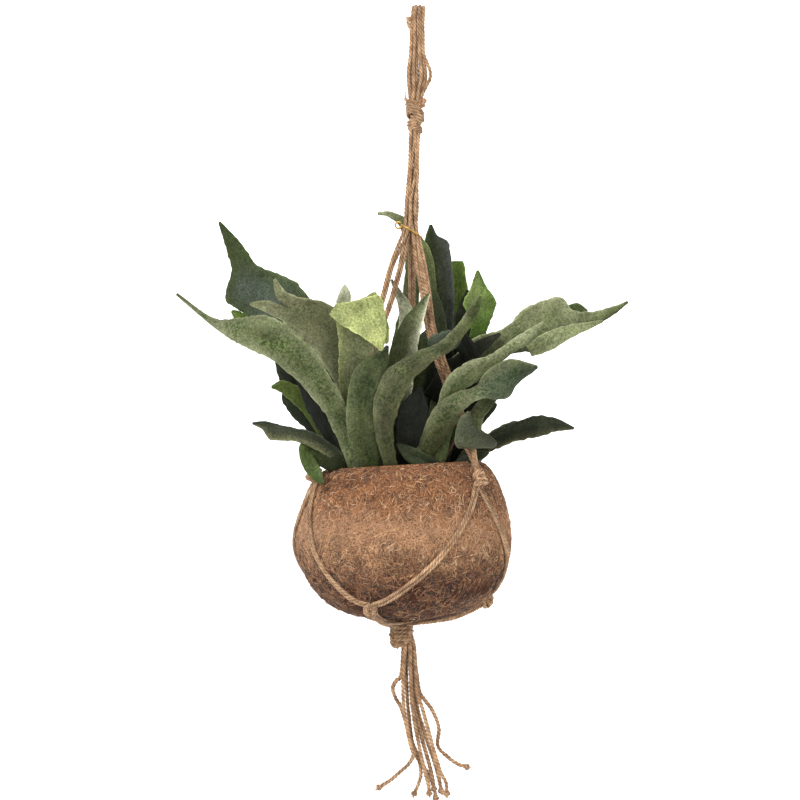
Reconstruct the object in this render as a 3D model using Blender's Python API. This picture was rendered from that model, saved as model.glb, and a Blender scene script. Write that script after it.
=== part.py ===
"""Staghorn fern planted in a hollow coir pot that hangs in a knotted jute hanger.

The origin is the hook point inside the top of the hanging loop.  +Z is up and the
plant's front faces -Y.  Fronds, cords and knots are written in millimetres from the
centre of the pot's mouth, which hangs below and a little left of the hook.
"""

import math

import bmesh
import bpy
import numpy as np

MM = 0.001

# The hook point, from the centre of the pot's mouth.
HOOK = (16.0, 0.0, 421.0)

# Pot: a flattened ball with an inturned mouth.
POT_OUTER = (
    (72.0, 0.0),
    (80.0, -5.5),
    (89.0, -20.0),
    (96.5, -42.0),
    (100.0, -66.0),
    (98.0, -84.0),
    (91.0, -102.0),
    (79.0, -119.0),
    (61.0, -132.0),
    (36.0, -138.5),
    (0.0, -140.0),
)
POT_INNER = (
    (68.0, -3.5),
    (73.0, -13.0),
    (83.0, -30.0),
    (89.5, -48.0),
    (92.0, -66.0),
    (90.0, -83.0),
    (83.0, -99.0),
    (72.0, -112.0),
    (55.0, -123.0),
    (32.0, -129.5),
    (0.0, -131.0),
)
ROOT_BALL = (
    (0.0, -11.0),
    (40.0, -12.0),
    (60.0, -15.0),
    (74.0, -27.0),
    (84.0, -46.0),
    (87.0, -66.0),
    (84.0, -84.0),
    (77.0, -98.0),
    (64.0, -111.0),
    (40.0, -122.0),
    (0.0, -126.0),
)
POT_STEPS = 36

# Cords: one jute cord, a doubled one, and an arm of four.
CORD_D = 3.6
DOUBLE_D = 5.4
ARM_D = 6.2
TAIL_D = 7.0
GAP = 0.4

# Hanging loop: its middle line lies in the plane x = LOOP_X, as y, z, half width, half depth.
LOOP_X = 14.0
LOOP = (
    (-3.8, 338.9, 6.4, 3.0),
    (-4.0, 342.0, 6.8, 3.0),
    (-7.0, 351.0, 7.8, 3.0),
    (-9.6, 362.0, 8.6, 3.0),
    (-9.8, 380.0, 7.6, 3.2),
    (-9.2, 402.0, 7.2, 3.6),
    (-8.2, 415.0, 7.0, 3.8),
    (-5.2, 422.4, 7.0, 3.8),
    (0.0, 424.9, 7.0, 3.8),
    (5.2, 422.4, 7.0, 3.8),
    (8.2, 415.0, 7.0, 3.8),
    (9.2, 402.0, 7.2, 3.6),
    (9.8, 380.0, 7.6, 3.2),
    (9.6, 362.0, 8.6, 3.0),
    (7.0, 351.0, 7.8, 3.0),
    (4.0, 342.0, 6.8, 3.0),
    (3.8, 338.9, 6.4, 3.0),
)

# Top knot: x, z, half width, half depth down its length.
TOP_KNOT = (
    (11.5, 338.2, 7.5, 6.5),
    (11.5, 335.5, 9.8, 8.6),
    (11.0, 329.0, 9.6, 9.2),
    (11.4, 322.0, 8.9, 8.6),
    (11.6, 315.0, 7.4, 7.4),
    (11.2, 310.0, 5.6, 5.6),
)
BUNDLE_TOP = (11.0, 0.0, 309.5)
TIE = (7.5, 0.0, 218.0)
TIE_R = 10.0
TIE_D = 1.6

# Azimuths run from the front towards +X.
RIM_KNOTS = {"left": (-66.0, -10.0), "right": (46.0, -17.0), "back": (172.0, -12.0)}
LOWER_KNOTS = {"front": (-21.0, -121.0), "right": (106.0, -121.0), "left": (-134.0, -121.0)}
ARM_BENDS = {"left": (-18.5, -12.0, 143.0), "right": (27.0, -27.0, 120.0), "back": (9.0, 36.0, 120.0)}
# Each sling: rim knot, lower knot, and how soon it falls before it swings round.
SLINGS = (
    ("left", "front", 2.5),
    ("left", "left", 2.0),
    ("right", "front", 1.7),
    ("right", "right", 2.0),
    ("back", "left", 2.0),
    ("back", "right", 2.0),
)
KNOT_R = 7.6
GATHER = (-1.5, 0.0, -155.0)
GATHER_R = 11.0
GATHER_H = 21.0

# Tassel strands: x, y, z down each strand, ending in a small knot.
TASSEL = {
    "tassel_left": (
        (2.2, -4.1, -167),
        (0, -4.6, -198),
        (1, -5, -226),
        (6, -6, -254),
        (9.5, -7, -266),
        (5, -8, -275),
        (-3, -9, -282),
        (-11, -10, -289),
        (-20, -11, -294.5),
    ),
    "tassel_bent": (
        (2.2, 4.1, -167),
        (4, 4.1, -217),
        (7.5, 3, -249),
        (10, 2, -265),
        (15, 1, -274),
        (16.5, 0, -286),
        (14, 0, -295),
        (11.5, 0, -301),
    ),
    "tassel_front": (
        (6.6, -5.1, -167),
        (8, -5.1, -217),
        (14, -4, -254),
        (19, -3.5, -277),
        (23.5, -3, -295),
        (24, -3, -300),
    ),
    "tassel_middle": (
        (5.4, 0, -167),
        (9, 0, -217),
        (18, 0.5, -254),
        (25.5, 1, -281),
        (29, 1, -299),
        (30, 1, -305),
    ),
    "tassel_back": (
        (6.6, 5.1, -167),
        (12, 5, -217),
        (22, 5, -254),
        (31, 5, -281),
        (34.5, 5, -296),
        (35, 5, -299),
    ),
    "tassel_right": (
        (10.1, -2.3, -167),
        (13, -3, -207),
        (18.5, -4, -226),
        (26, -5, -254),
        (34, -5, -281),
        (39.5, -5, -292),
        (40.5, -5, -300),
    ),
    "tassel_far": (
        (10.1, 2.3, -167),
        (14.5, 3.5, -206),
        (20, 6, -217),
        (26.5, 8, -226),
        (31.5, 9, -237),
        (33.5, 10, -246),
        (32.5, 11, -261),
        (42, 12, -271.5),
        (51, 13, -278),
        (57, 13, -280),
    ),
    "tassel_loop": (
        (0.2, 0, -167),
        (-2, 0, -193.5),
        (-6.5, 0, -199),
        (-9.5, 1, -206.5),
        (-6.5, 3, -216),
        (-2, 6, -224),
        (3, 9, -240),
        (9, 10.5, -258),
        (18, 11, -277),
        (26, 10.5, -292),
        (28, 10, -298),
    ),
}

# Frond blades.
BLADE = 1.5
ROWS_PER_STEP = 2

# Each row is x, y, z, half width and roll in degrees; a row of six numbers has a half width
# for each edge.  The first edge is on the left of a frond that grows up.  A row faces the
# front at roll 0, and a positive roll brings its second edge forward.  Lobes carry on from
# the last row, which they share between them.
FRONDS = {
    "frond_blue_upper_left": {
        "spine": [
            (-46, 16, -4, 6, 0),
            (-66, 22, 58, 13, 0),
            (-90, 26, 110, 24, 24, 10),
            (-118, 26, 146, 30, 31, 10),
            (-132, 25, 160, 26, 25, 10),
            (-146, 22, 172, 26, 20, 10),
            (-152, 20, 184, 9, 14, 5),
            (-159, 16, 204, 6, 8, 0),
            (-171, 12, 227, 0.8, 0),
        ],
        "cup": -0.15,
    },
    "frond_long_left": {
        "spine": [
            (-42, -46, -3, 6, 0),
            (-54, -53, 36, 9, 10),
            (-70, -70, 68, 12, 20),
            (-98, -80, 101, 16, 20),
            (-126, -78, 120, 17, 10),
            (-148, -70, 124, 11, 0),
            (-172, -60, 132, 3, 0),
            (-205, -50, 157, 0.8, 0),
        ],
        "cup": -0.25,
    },
    "frond_forked_left": {
        "spine": [
            (-36, 2, -3, 6, 0),
            (-45, -2, 61, 10, 0),
            (-60, -6, 112, 22, 0),
            (-82, -12, 132, 22, 10),
            (-104, -18, 145, 13, 10),
        ],
        "lobes": [
            [(-125, -24, 147, 5, 0), (-140, -28, 149, 0.8, 0)],
            [(-112, -20, 158, 5, 0), (-118, -22, 172, 0.8, 0)],
        ],
        "cup": 0.15,
    },
    "frond_bright_flap": {
        "spine": [
            (-45, -34, -3, 6, 0),
            (-47, -46, 50, 8, 0),
            (-48, -54, 84, 10, 10, 0),
            (-45, -66, 108, 13, 18, 0),
            (-41, -72, 128, 19, 20, 0),
            (-29, -77, 137, 17, 30, 0),
            (-18, -80, 141, 18, 16, 0),
        ],
        "cup": 0.1,
    },
    "frond_front_tongue": {
        "spine": [
            (-27, -55, -3, 7, 0),
            (-35, -68, 30, 14, 13, 0),
            (-37, -71, 60, 13, 0),
            (-31, -70, 84, 13, 0),
            (-20, -60, 98, 7, 0),
            (-14, -50, 110, 0.8, 0),
        ],
        "cup": -0.25,
    },
    "frond_centre_curl": {
        "spine": [
            (-10, -60, -3, 5, 0),
            (-17, -74, 33, 8, 0),
            (-14, -77, 61, 12, 10),
            (-4, -74, 82, 13, 25),
            (16, -64, 98, 9, 30),
            (38, -53, 110, 6, 20),
            (55, -46, 128, 5, 10),
            (66, -34, 146, 4, 0),
            (70, -28, 156, 0.8, 0),
        ],
        "cup": -0.2,
    },
    "frond_pale_centre": {
        "spine": [
            (-4, -26, -3, 6, 0),
            (-2, -30, 60, 9, 0),
            (0, -32, 100, 12, 10),
            (8, -34, 130, 10, 20),
            (24, -34, 158, 0.8, 20),
        ],
        "cup": 0.3,
    },
    "frond_pale_spike": {
        "spine": [
            (-8, -2, -3, 6, 0),
            (-4, 0, 60, 8, 0),
            (4, 2, 118, 9, 0),
            (2, 4, 146, 6, 0),
            (-11, 4, 173, 0.8, 0),
        ],
        "cup": 0.2,
    },
    "frond_tall_strap": {
        "spine": [
            (14, 16, -3, 7, 0),
            (27, 28, 70, 9, 0),
            (37, 34, 126, 9, 0),
            (40, 36, 154, 8, 0),
            (38, 36, 174, 9, 0),
            (34, 36, 193, 11, 0),
            (30, 35, 206, 13, 0),
            (27, 34, 214, 6, 0),
            (26, 33, 226, 0.8, 0),
        ],
        "cup": -0.2,
    },
    "frond_green_behind": {
        "spine": [
            (22, 40, -3, 6, 0),
            (38, 52, 80, 9, 0),
            (52, 56, 150, 9, 0),
            (52, 56, 182, 7, 0),
            (52, 55, 193, 5, 0),
        ],
        "cup": 0.2,
    },
    "frond_green_lobed": {
        "spine": [
            (34, 4, -3, 6, 0),
            (52, 6, 70, 9, 0),
            (66, 4, 110, 7, 0),
            (71, 2, 130, 8, 0),
            (71, 0, 151, 15, 0),
            (70, -2, 164, 8, 0),
            (69, -3, 181, 0.8, 0),
        ],
        "cup": 0.15,
    },
    "frond_grey_right": {
        "spine": [
            (20, -8, -3, 6, 0),
            (40, -8, 74, 9, 0),
            (70, -10, 106, 12, -10),
            (99, -14, 117, 12, 14, -10),
            (118, -18, 126, 20, 23, -10),
            (134, -20, 132, 21, 19, -10),
            (147, -22, 134, 21, 15, -5),
            (156, -23, 134, 10, 13, 0),
            (174, -24, 136, 6, 7, 0),
            (192, -24, 143, 3.5, 0),
            (206, -24, 151, 0.8, 0),
        ],
        "cup": 0.15,
    },
    "frond_light_right": {
        "spine": [
            (30, -47, -3, 6, 0),
            (43, -57, 66, 9, 0),
            (61, -57, 86, 10, 10),
            (80, -54, 96, 6, 20),
            (95, -51, 107, 5, 20),
            (113, -50, 119, 5, 20),
            (128, -50, 132, 0.8, 20),
        ],
        "cup": -0.2,
    },
    "frond_speckled_right": {
        "spine": [
            (12, -50, -3, 6, 0),
            (22, -53, 18, 8, 0),
            (36, -65, 44, 12, 0),
            (50, -70, 60, 9, 20),
            (66, -70, 68, 7, 9, 40),
            (82, -67, 78, 12, 19, 20),
            (99, -64, 88, 10, 13, 0),
            (121, -62, 91, 0.8, 0),
        ],
        "cup": -0.2,
    },
    "frond_stalk_right": {
        "spine": [
            (50, -20, -3, 5, 0),
            (64, -26, 22, 5, 0),
            (67, -30, 45, 6, 0),
            (77, -34, 60, 6, 0),
            (92, -36, 74, 0.8, 0),
        ],
        "cup": -0.2,
    },
    "frond_dark_right": {
        "spine": [
            (48, -4, -3, 5, 0),
            (75, -10, 19, 7, 20),
            (99, -16, 31, 9, 30),
            (124, -20, 37, 10, 20),
            (141, -20, 38, 6, 10),
            (157, -20, 35, 0.8, 0),
        ],
        "cup": 0.25,
    },
    "frond_folded_right": {
        "spine": [
            (50, -28, -5, 4, 0),
            (67, -34, 13, 4, 0),
            (81, -56, 20, 4, 0),
            (59, -74, 28, 14, 11, 12),
            (57, -76, 40, 8, 5, 6),
            (59, -76, 51, 0.8, 0),
        ],
        "cup": -0.2,
    },
    "frond_low_front": {
        "spine": [
            (35, -52, -5, 5, 0),
            (26, -60, 4, 5, 10),
            (8, -62, 11, 7, 10),
            (-6, -62, 22, 0.8, 0),
        ],
        "cup": 0.1,
    },
    "frond_dark_centre": {
        "spine": [
            (6, -42, -3, 8, 0),
            (8, -49, 24, 14, 0),
            (10, -50, 50, 14, 0),
            (15, -48, 74, 0.8, 0),
        ],
        "cup": 0.15,
    },
    "frond_low_left": {
        "spine": [
            (-47, -40, -5, 5, 0),
            (-63, -46, 13, 6, 20),
            (-84, -54, 26, 7, 20),
            (-100, -54, 30, 6, 0),
            (-116, -48, 34, 10, 6, -20),
            (-126, -44, 39, 5, 3, 0),
            (-137, -42, 40, 0.8, 0),
        ],
        "cup": 0.3,
    },
    "frond_rim_left": {
        "spine": [
            (-55, -30, -5, 4, 0),
            (-63, -36, 9, 5, 0),
            (-79, -43, 20, 5, 20),
            (-89, -48, 17, 6, 30),
            (-85, -56, 5, 6, 20),
            (-78, -62, -6, 5, 0),
            (-72, -66, -14, 0.8, 0),
        ],
        "cup": -0.2,
    },
    "frond_narrow_left": {
        "spine": [
            (-59, -14, -5, 4, 0),
            (-72, -16, 28, 5, 0),
            (-86, -16, 52, 6, 0),
            (-100, -16, 67, 7, 0),
            (-112, -16, 74, 5, 0),
            (-121, -16, 73, 0.8, 0),
        ],
        "cup": -0.2,
    },
    "frond_dark_left": {
        "spine": [
            (-56, 0, -4, 6, 0),
            (-76, 2, 42, 12, 0),
            (-94, 2, 72, 16, 0),
            (-108, 0, 92, 10, 0),
            (-118, -2, 106, 0.8, 0),
        ],
        "cup": -0.2,
    },
    "frond_thin_tip": {
        "spine": [
            (-12, 44, -3, 6, 0),
            (-8, 56, 80, 9, 0),
            (6, 54, 150, 8, 0),
            (9, 48, 198, 6, 0),
            (2, 44, 226, 5, 0),
            (-12, 42, 236, 2.5, 0),
            (-24, 40, 237, 0.8, 0),
        ],
        "cup": -0.2,
    },
    "frond_dark_behind": {
        "spine": [
            (34, 26, -3, 6, 0),
            (50, 24, 70, 10, 0),
            (58, 22, 116, 11, 0),
            (60, 20, 144, 9, 0),
            (60, 18, 164, 0.8, 0),
        ],
        "cup": 0.1,
    },
    "frond_dark_crossing": {
        "spine": [
            (46, -14, -3, 5, 0),
            (64, -20, 60, 7, 0),
            (62, -30, 100, 8, 20),
            (47, -40, 118, 9, 20),
            (28, -42, 115, 0.8, 0),
        ],
        "cup": -0.1,
    },
    "frond_back_left": {
        "spine": [
            (-34, 34, -3, 6, -20),
            (-52, 58, 48, 12, -30),
            (-76, 86, 88, 17, -35),
            (-98, 110, 108, 13, -30),
            (-118, 128, 112, 0.8, -20),
        ],
        "cup": -0.2,
    },
    "frond_back_middle": {
        "spine": [
            (-14, 54, -4, 6, 0),
            (-30, 80, 58, 11, 0),
            (-38, 104, 104, 14, 0),
        ],
        "lobes": [
            [(-48, 118, 128, 7, 0), (-54, 126, 146, 0.8, 0)],
            [(-30, 120, 130, 7, 0), (-26, 130, 150, 0.8, 0)],
        ],
        "cup": -0.2,
    },
    "frond_back_right": {
        "spine": [
            (38, 44, -4, 6, 20),
            (52, 66, 48, 12, 30),
            (70, 90, 84, 17, 35),
            (86, 108, 104, 12, 30),
            (100, 124, 114, 0.8, 20),
        ],
        "cup": -0.2,
    },
    "frond_back_low": {
        "spine": [
            (50, 20, -5, 5, 0),
            (60, 27, 12, 6, 0),
            (84, 46, 22, 8, 0),
            (108, 64, 32, 9, 0),
            (136, 78, 36, 0.8, 0),
        ],
        "cup": -0.2,
    },
    "shield_frond": {
        "spine": [
            (-42, -20, -4, 9, 0),
            (-49, -19, 14, 12, 0),
            (-53, -17, 30, 11, 0),
            (-55, -16, 44, 4, 0),
        ],
        "cup": 0.3,
    },
}


def material(name, colour, roughness=0.8, metallic=0.0):
    made = bpy.data.materials.new(name)
    made.use_nodes = True
    shader = made.node_tree.nodes["Principled BSDF"]
    shader.inputs["Base Color"].default_value = (*colour, 1.0)
    shader.inputs["Roughness"].default_value = roughness
    shader.inputs["Metallic"].default_value = metallic
    return made


def add_object(name, data, made):
    placed = bpy.data.objects.new(name, data)
    data.materials.append(made)
    bpy.context.scene.collection.objects.link(placed)
    return placed


def mesh_object(name, points, faces, made):
    data = bpy.data.meshes.new(name)
    placed = (np.asarray(points) - np.array(HOOK)) * MM
    data.from_pydata([tuple(p) for p in placed], [], faces)
    shape = bmesh.new()
    shape.from_mesh(data)
    bmesh.ops.recalc_face_normals(shape, faces=shape.faces)
    shape.to_mesh(data)
    shape.free()
    data.shade_smooth()
    data.set_sharp_from_angle(angle=math.radians(50))
    return add_object(name, data, made)


# ---------------------------------------------------------------- curves of points


def spline(values, steps):
    """Catmull-Rom rows through the given rows, with `steps` spans between neighbours."""
    values = np.asarray(values, dtype=float)
    before = np.concatenate([2 * values[:1] - values[1:2], values[:-1]])
    after = np.concatenate([values[1:], 2 * values[-1:] - values[-2:-1]])
    slopes = (after - before) / 2.0
    rows = []
    for i in range(len(values) - 1):
        for k in range(steps):
            t = k / steps
            rows.append(
                values[i] * (2 * t**3 - 3 * t**2 + 1)
                + values[i + 1] * (3 * t**2 - 2 * t**3)
                + slopes[i] * (t**3 - 2 * t**2 + t)
                + slopes[i + 1] * (t**3 - t**2)
            )
    rows.append(values[-1])
    return np.array(rows)


def unit(vector):
    return vector / (np.linalg.norm(vector) + 1e-12)


def edge_rows(spine, start=None):
    """The two edges and the face direction at each row of a spine."""
    centres = np.array([row[:3] for row in spine], dtype=float)
    path = centres if start is None else np.vstack([start, centres])
    rows = []
    for i, row in enumerate(spine):
        j = i if start is None else i + 1
        along = unit(path[min(j + 1, len(path) - 1)] - path[max(j - 1, 0)])
        side = unit(np.cross(along, (0.0, -1.0, 0.0)))
        roll = math.radians(row[-1])
        turned = side * math.cos(roll) + np.cross(side, along) * math.sin(roll)
        front = unit(np.cross(turned, along))
        first = centres[i] - turned * row[3]
        second = centres[i] + turned * row[-2]
        rows.append(np.concatenate([first, second, front]))
    return np.array(rows)


def blade_rows(rows, cup, columns):
    """Points of a blade: each row runs from edge to edge, bowed by `cup` of its half width."""
    v = np.linspace(0.0, 1.0, columns + 1)[None, :, None]
    first, second, front = rows[:, None, :3], rows[:, None, 3:6], rows[:, None, 6:9]
    half = np.linalg.norm(second - first, axis=2, keepdims=True) / 2.0
    bow = 4.0 * v * (1.0 - v)
    return first * (1.0 - v) + second * v - front * half * cup * bow


def frond_sheet(frond):
    """Vertices and quads of one frond: a strip, whose last row splits between its lobes."""
    cup = frond.get("cup", 0.0)
    lobes = frond.get("lobes", [])
    columns = 2 * max(1, len(lobes))
    main_rows = spline(edge_rows(frond["spine"]), ROWS_PER_STEP)
    grid = blade_rows(main_rows, cup, columns)
    points = [p for row in grid for p in row]
    width = columns + 1
    faces = []
    for i in range(len(grid) - 1):
        for j in range(columns):
            a = i * width + j
            faces.append((a, a + 1, a + width + 1, a + width))
    last = (len(grid) - 1) * width
    share = columns // max(1, len(lobes))
    for k, lobe in enumerate(lobes):
        above = [last + k * share + j for j in range(share + 1)]
        first, second = points[above[0]], points[above[-1]]
        head = np.concatenate([first, second, main_rows[-1, 6:9]])
        rows = np.vstack([head, edge_rows(lobe, (first + second) / 2.0)])
        strip = blade_rows(spline(rows, ROWS_PER_STEP), cup, share)
        for row in strip[1:]:
            here = [len(points) + j for j in range(share + 1)]
            points.extend(row)
            for j in range(share):
                faces.append((above[j], above[j + 1], here[j + 1], here[j]))
            above = here
    return np.array(points), faces


def build_fronds(green, dried):
    for name, frond in FRONDS.items():
        points, faces = frond_sheet(frond)
        look = dried if name.startswith("shield") else green
        placed = mesh_object(name, points, faces, look)
        thick = placed.modifiers.new("blade", "SOLIDIFY")
        thick.thickness = BLADE * MM
        thick.offset = 0.0


# ---------------------------------------------------------------- pot and root ball


def pot_wobble(azimuth, z):
    """Hand-felted unevenness of the ball, in millimetres outward; azimuth from the front."""
    return (
        1.2 * np.sin(2 * azimuth + 0.6)
        + 0.9 * np.sin(3 * azimuth - 1.1 + z * 0.03)
        + 0.5 * np.sin(5 * azimuth + z * 0.05)
    )


def pot_lift(azimuth, z):
    """The mouth stands higher at the right and the front than at the left and the back."""
    return (4.0 * np.sin(azimuth) + 2.0 * np.cos(azimuth)) * np.clip(1.0 + z / 70.0, 0.0, 1.0)


def pot_point(azimuth, r, z):
    reach = r + pot_wobble(azimuth, z) * min(1.0, r / 60.0)
    height = z + pot_lift(azimuth, z)
    return np.array([reach * math.sin(azimuth), -reach * math.cos(azimuth), height])


def turned_solid(name, profile, look, steps=POT_STEPS):
    """A closed profile of (r, z) turned round the pot's axis; rows at r = 0 close to a point."""
    rings = []
    points = []
    for r, z in profile:
        if r < 1e-6:
            rings.append([len(points)] * steps)
            points.append(np.array([0.0, 0.0, z]))
            continue
        rings.append([len(points) + k for k in range(steps)])
        for k in range(steps):
            points.append(pot_point(2 * math.pi * k / steps, r, z))
    faces = []
    for upper, lower in zip(rings[:-1], rings[1:]):
        for k in range(steps):
            m = (k + 1) % steps
            corners = [upper[k], upper[m], lower[m], lower[k]]
            faces.append(tuple(dict.fromkeys(corners)))
    return mesh_object(name, points, faces, look)


def build_pot(coir, soil):
    outer = spline(POT_OUTER, 2)[::-1]
    inner = np.array(POT_INNER)
    turned_solid("coir_pot", np.vstack([outer, inner]), coir)
    turned_solid("root_ball", np.array(ROOT_BALL), soil, 32)


def ball_place(azimuth, z, away):
    """The point `away` outside the ball at an azimuth in degrees and a depth under the rim."""
    turn = math.radians(azimuth)
    profile = spline(POT_OUTER, 8)
    r = float(np.interp(-z, -profile[:, 1], profile[:, 0]))
    above = float(np.interp(-2.0 - z, -profile[:, 1], profile[:, 0]))
    below = float(np.interp(2.0 - z, -profile[:, 1], profile[:, 0]))
    tilt = math.atan2(below - above, 4.0)
    out = np.array([math.sin(turn), -math.cos(turn), 0.0])
    normal = out * math.cos(tilt) + np.array([0.0, 0.0, math.sin(tilt)])
    return pot_point(turn, r, z) + normal * away


# ---------------------------------------------------------------- cords and knots


def cord(name, path, diameter, look, radii=None, resolution=2):
    """A round cord along a path of points, each with its share of the full radius."""
    curve = bpy.data.curves.new(name, "CURVE")
    curve.dimensions = "3D"
    curve.bevel_depth = diameter / 2.0 * MM
    curve.bevel_resolution = resolution
    curve.use_fill_caps = True
    strand = curve.splines.new("POLY")
    strand.points.add(len(path) - 1)
    for i, place in enumerate(path):
        strand.points[i].co = (*((np.asarray(place) - np.array(HOOK)) * MM), 1.0)
        strand.points[i].radius = 1.0 if radii is None else radii[i]
    return add_object(name, curve, look)


def even_path(points, spacing):
    """A smooth line through the points, sampled every `spacing` millimetres or a little less."""
    dense = spline(points, 12)
    length = np.concatenate([[0.0], np.cumsum(np.linalg.norm(np.diff(dense, axis=0), axis=1))])
    count = max(2, int(math.ceil(length[-1] / spacing)) + 1)
    marks = np.linspace(0.0, length[-1], count)
    return np.stack([np.interp(marks, length, dense[:, k]) for k in range(3)], axis=1)


def knot(name, path, radii, look):
    """A knot as a fat stretch of cord: the path's points and its radius in millimetres at each."""
    return cord(name, path, 2.0, look, radii, 3)


def build_slings(jute):
    places = {("rim", k): ball_place(*v, KNOT_R + GAP) for k, v in RIM_KNOTS.items()}
    places.update({("low", k): ball_place(*v, KNOT_R + GAP) for k, v in LOWER_KNOTS.items()})
    clear = KNOT_R + DOUBLE_D / 2.0 + 2.0
    for upper, lower, early in SLINGS:
        top, low = places[("rim", upper)], places[("low", lower)]
        line = []
        start, fall = RIM_KNOTS[upper], LOWER_KNOTS[lower][1] - RIM_KNOTS[upper][1]
        swing = (LOWER_KNOTS[lower][0] - start[0] + 180.0) % 360.0 - 180.0
        for t in np.linspace(0.0, 1.0, 41):
            drop = 1.0 - (1.0 - t) ** early
            place = ball_place(start[0] + swing * t, start[1] + fall * drop, DOUBLE_D / 2.0 + GAP)
            ends = min(np.linalg.norm(place - top), np.linalg.norm(place - low))
            if ends > clear:
                line.append(place)
        cord(f"sling_{upper}_{lower}", even_path(line, 11.0), DOUBLE_D, jute)
    return places


def build_lower_knots(jute, places):
    """Each lower knot and the tail that runs from it under the ball to the gather knot."""
    for name, (azimuth, z) in LOWER_KNOTS.items():
        place = places[("low", name)]
        rest = TAIL_D / 2.0 + GAP
        under = [ball_place(azimuth, low, rest + more) for low, more in ((-131.0, 1.2), (-137.0, 0.6))]
        inward = unit(under[0] - place)
        out = unit(np.array([place[0], place[1], 0.0]))
        tail_end = np.array(GATHER) + out * (GATHER_R + GAP + 0.6)
        tail_end[2] = -147.0
        path = [place + inward * k * KNOT_R for k in (-1.0, -0.55, 0.0, 0.5, 0.95)]
        path += [*under, (under[1] + tail_end) / 2.0 - np.array([0.0, 0.0, 1.0]), tail_end]
        radii = [3.2, 6.4, KNOT_R, 6.0, 3.9, 3.4, 3.3, 3.3, 3.3]
        knot(f"lower_knot_{name}", path, radii, jute)


def build_arms(jute, places):
    """Three arms run side by side from the top knot through the tie, then out to the rim knots."""
    spread = {"left": (-3.6, -2.1), "right": (3.6, -2.1), "back": (0.0, 4.2)}
    for name, (dx, dy) in spread.items():
        target = places[("rim", name)]
        start = np.array(BUNDLE_TOP) + np.array([dx, dy, -GAP])
        bend = np.array(TIE) + np.array([dx * 1.02, dy * 1.02, 0.0])
        rest = np.array(ARM_BENDS[name])
        down = unit(target - rest)
        end = target - down * (KNOT_R * 1.15 + GAP)
        upper = [start + (bend - start) * t for t in np.linspace(0.0, 1.0, 5)]
        lower = even_path([bend, (bend * 0.45 + rest * 0.55), rest, (rest + end) / 2.0, end], 26.0)[1:]
        cord(f"arm_{name}", [*upper, *lower], ARM_D, jute)
        path = [target + down * (k * KNOT_R) for k in (-1.15, -0.6, 0.0, 0.6, 1.1)]
        knot(f"rim_knot_{name}", path, [3.4, 6.8, KNOT_R, 6.6, 3.2], jute)


def swept_solid(name, rows, look, steps=12):
    """Ellipses of half widths a (along X) and b, square to a line in a plane of constant x."""
    points = []
    faces = []
    centres = np.array([row[0] for row in rows])
    for i, (centre, a, b) in enumerate(rows):
        along = unit(centres[min(i + 1, len(rows) - 1)] - centres[max(i - 1, 0)])
        across = unit(np.cross(along, (1.0, 0.0, 0.0)))
        for k in range(steps):
            turn = 2 * math.pi * k / steps
            points.append(centre + np.array([a * math.cos(turn), 0, 0]) + across * b * math.sin(turn))
    for i in range(len(rows) - 1):
        for k in range(steps):
            m = (k + 1) % steps
            p, q = i * steps, (i + 1) * steps
            faces.append((p + k, p + m, q + m, q + k))
    faces.append(tuple(range(steps)))
    faces.append(tuple((len(rows) - 1) * steps + k for k in range(steps)))
    return mesh_object(name, points, faces, look)


def build_top(jute):
    spine = spline(LOOP, 2)
    lean = lambda z: LOOP_X - 3.0 * np.clip((424.0 - z) / 86.0, 0.0, 1.0)
    rows = [(np.array([lean(z), y, z]), a, b) for y, z, a, b in spine]
    swept_solid("hanging_loop", rows, jute, 10)
    body = spline(TOP_KNOT, 2)
    rows = []
    for x, z, a, b in body:
        rows.append((np.array([x, 0.0, z]), a, b))
    swept_solid("top_knot", rows, jute, 14)


def build_gather(jute):
    """The wrapped knot under the pot: turns of cord round the tails."""
    rows = []
    for i in range(17):
        t = i / 16.0
        ridge = 0.5 * abs(math.sin(4 * math.pi * t))
        half = GATHER_R - 1.0 + ridge - 2.2 * t**4
        z = GATHER[2] + GATHER_H * (0.5 - t)
        x = GATHER[0] - 1.5 * t
        rows.append((np.array([x, 0.0, z]), half, half))
    swept_solid("gather_knot", rows, jute, 16)


def build_tie(gold):
    """A thin tie: once round the three arms, with a small open curl at its left end."""
    path = []
    for k in range(18):
        turn = math.radians(200.0 + 20.0 * k)
        x, y = TIE_R * math.cos(turn), TIE_R * math.sin(turn)
        path.append(np.array(TIE) + np.array([x, y, -0.58 * x - 0.08 * k]))
    cord("twist_tie", path, TIE_D, gold)


def build_tassel(jute):
    for name, rows in TASSEL.items():
        path = even_path(rows, 2.7 * CORD_D)
        last = path[-1]
        along = unit(last - path[-2])
        body = [*path, last + along * 1.6, last + along * 4.6, last + along * 6.6]
        radii = [1.0] * len(path) + [1.6, 1.7, 0.9]
        cord(name, body, CORD_D, jute, radii)


def main():
    for old in list(bpy.data.objects):
        bpy.data.objects.remove(old, do_unlink=True)
    green = material("frond_green", (0.13, 0.19, 0.09), 0.75)
    dried = material("dried_frond", (0.12, 0.07, 0.04), 0.85)
    coir = material("coir_felt", (0.31, 0.15, 0.08), 0.95)
    soil = material("root_moss", (0.04, 0.03, 0.02), 0.95)
    jute = material("jute_cord", (0.40, 0.24, 0.12), 0.9)
    gold = material("golden_tie", (0.45, 0.27, 0.07), 0.5)
    build_fronds(green, dried)
    build_pot(coir, soil)
    places = build_slings(jute)
    build_lower_knots(jute, places)
    build_arms(jute, places)
    build_top(jute)
    build_gather(jute)
    build_tie(gold)
    build_tassel(jute)


main()
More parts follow.
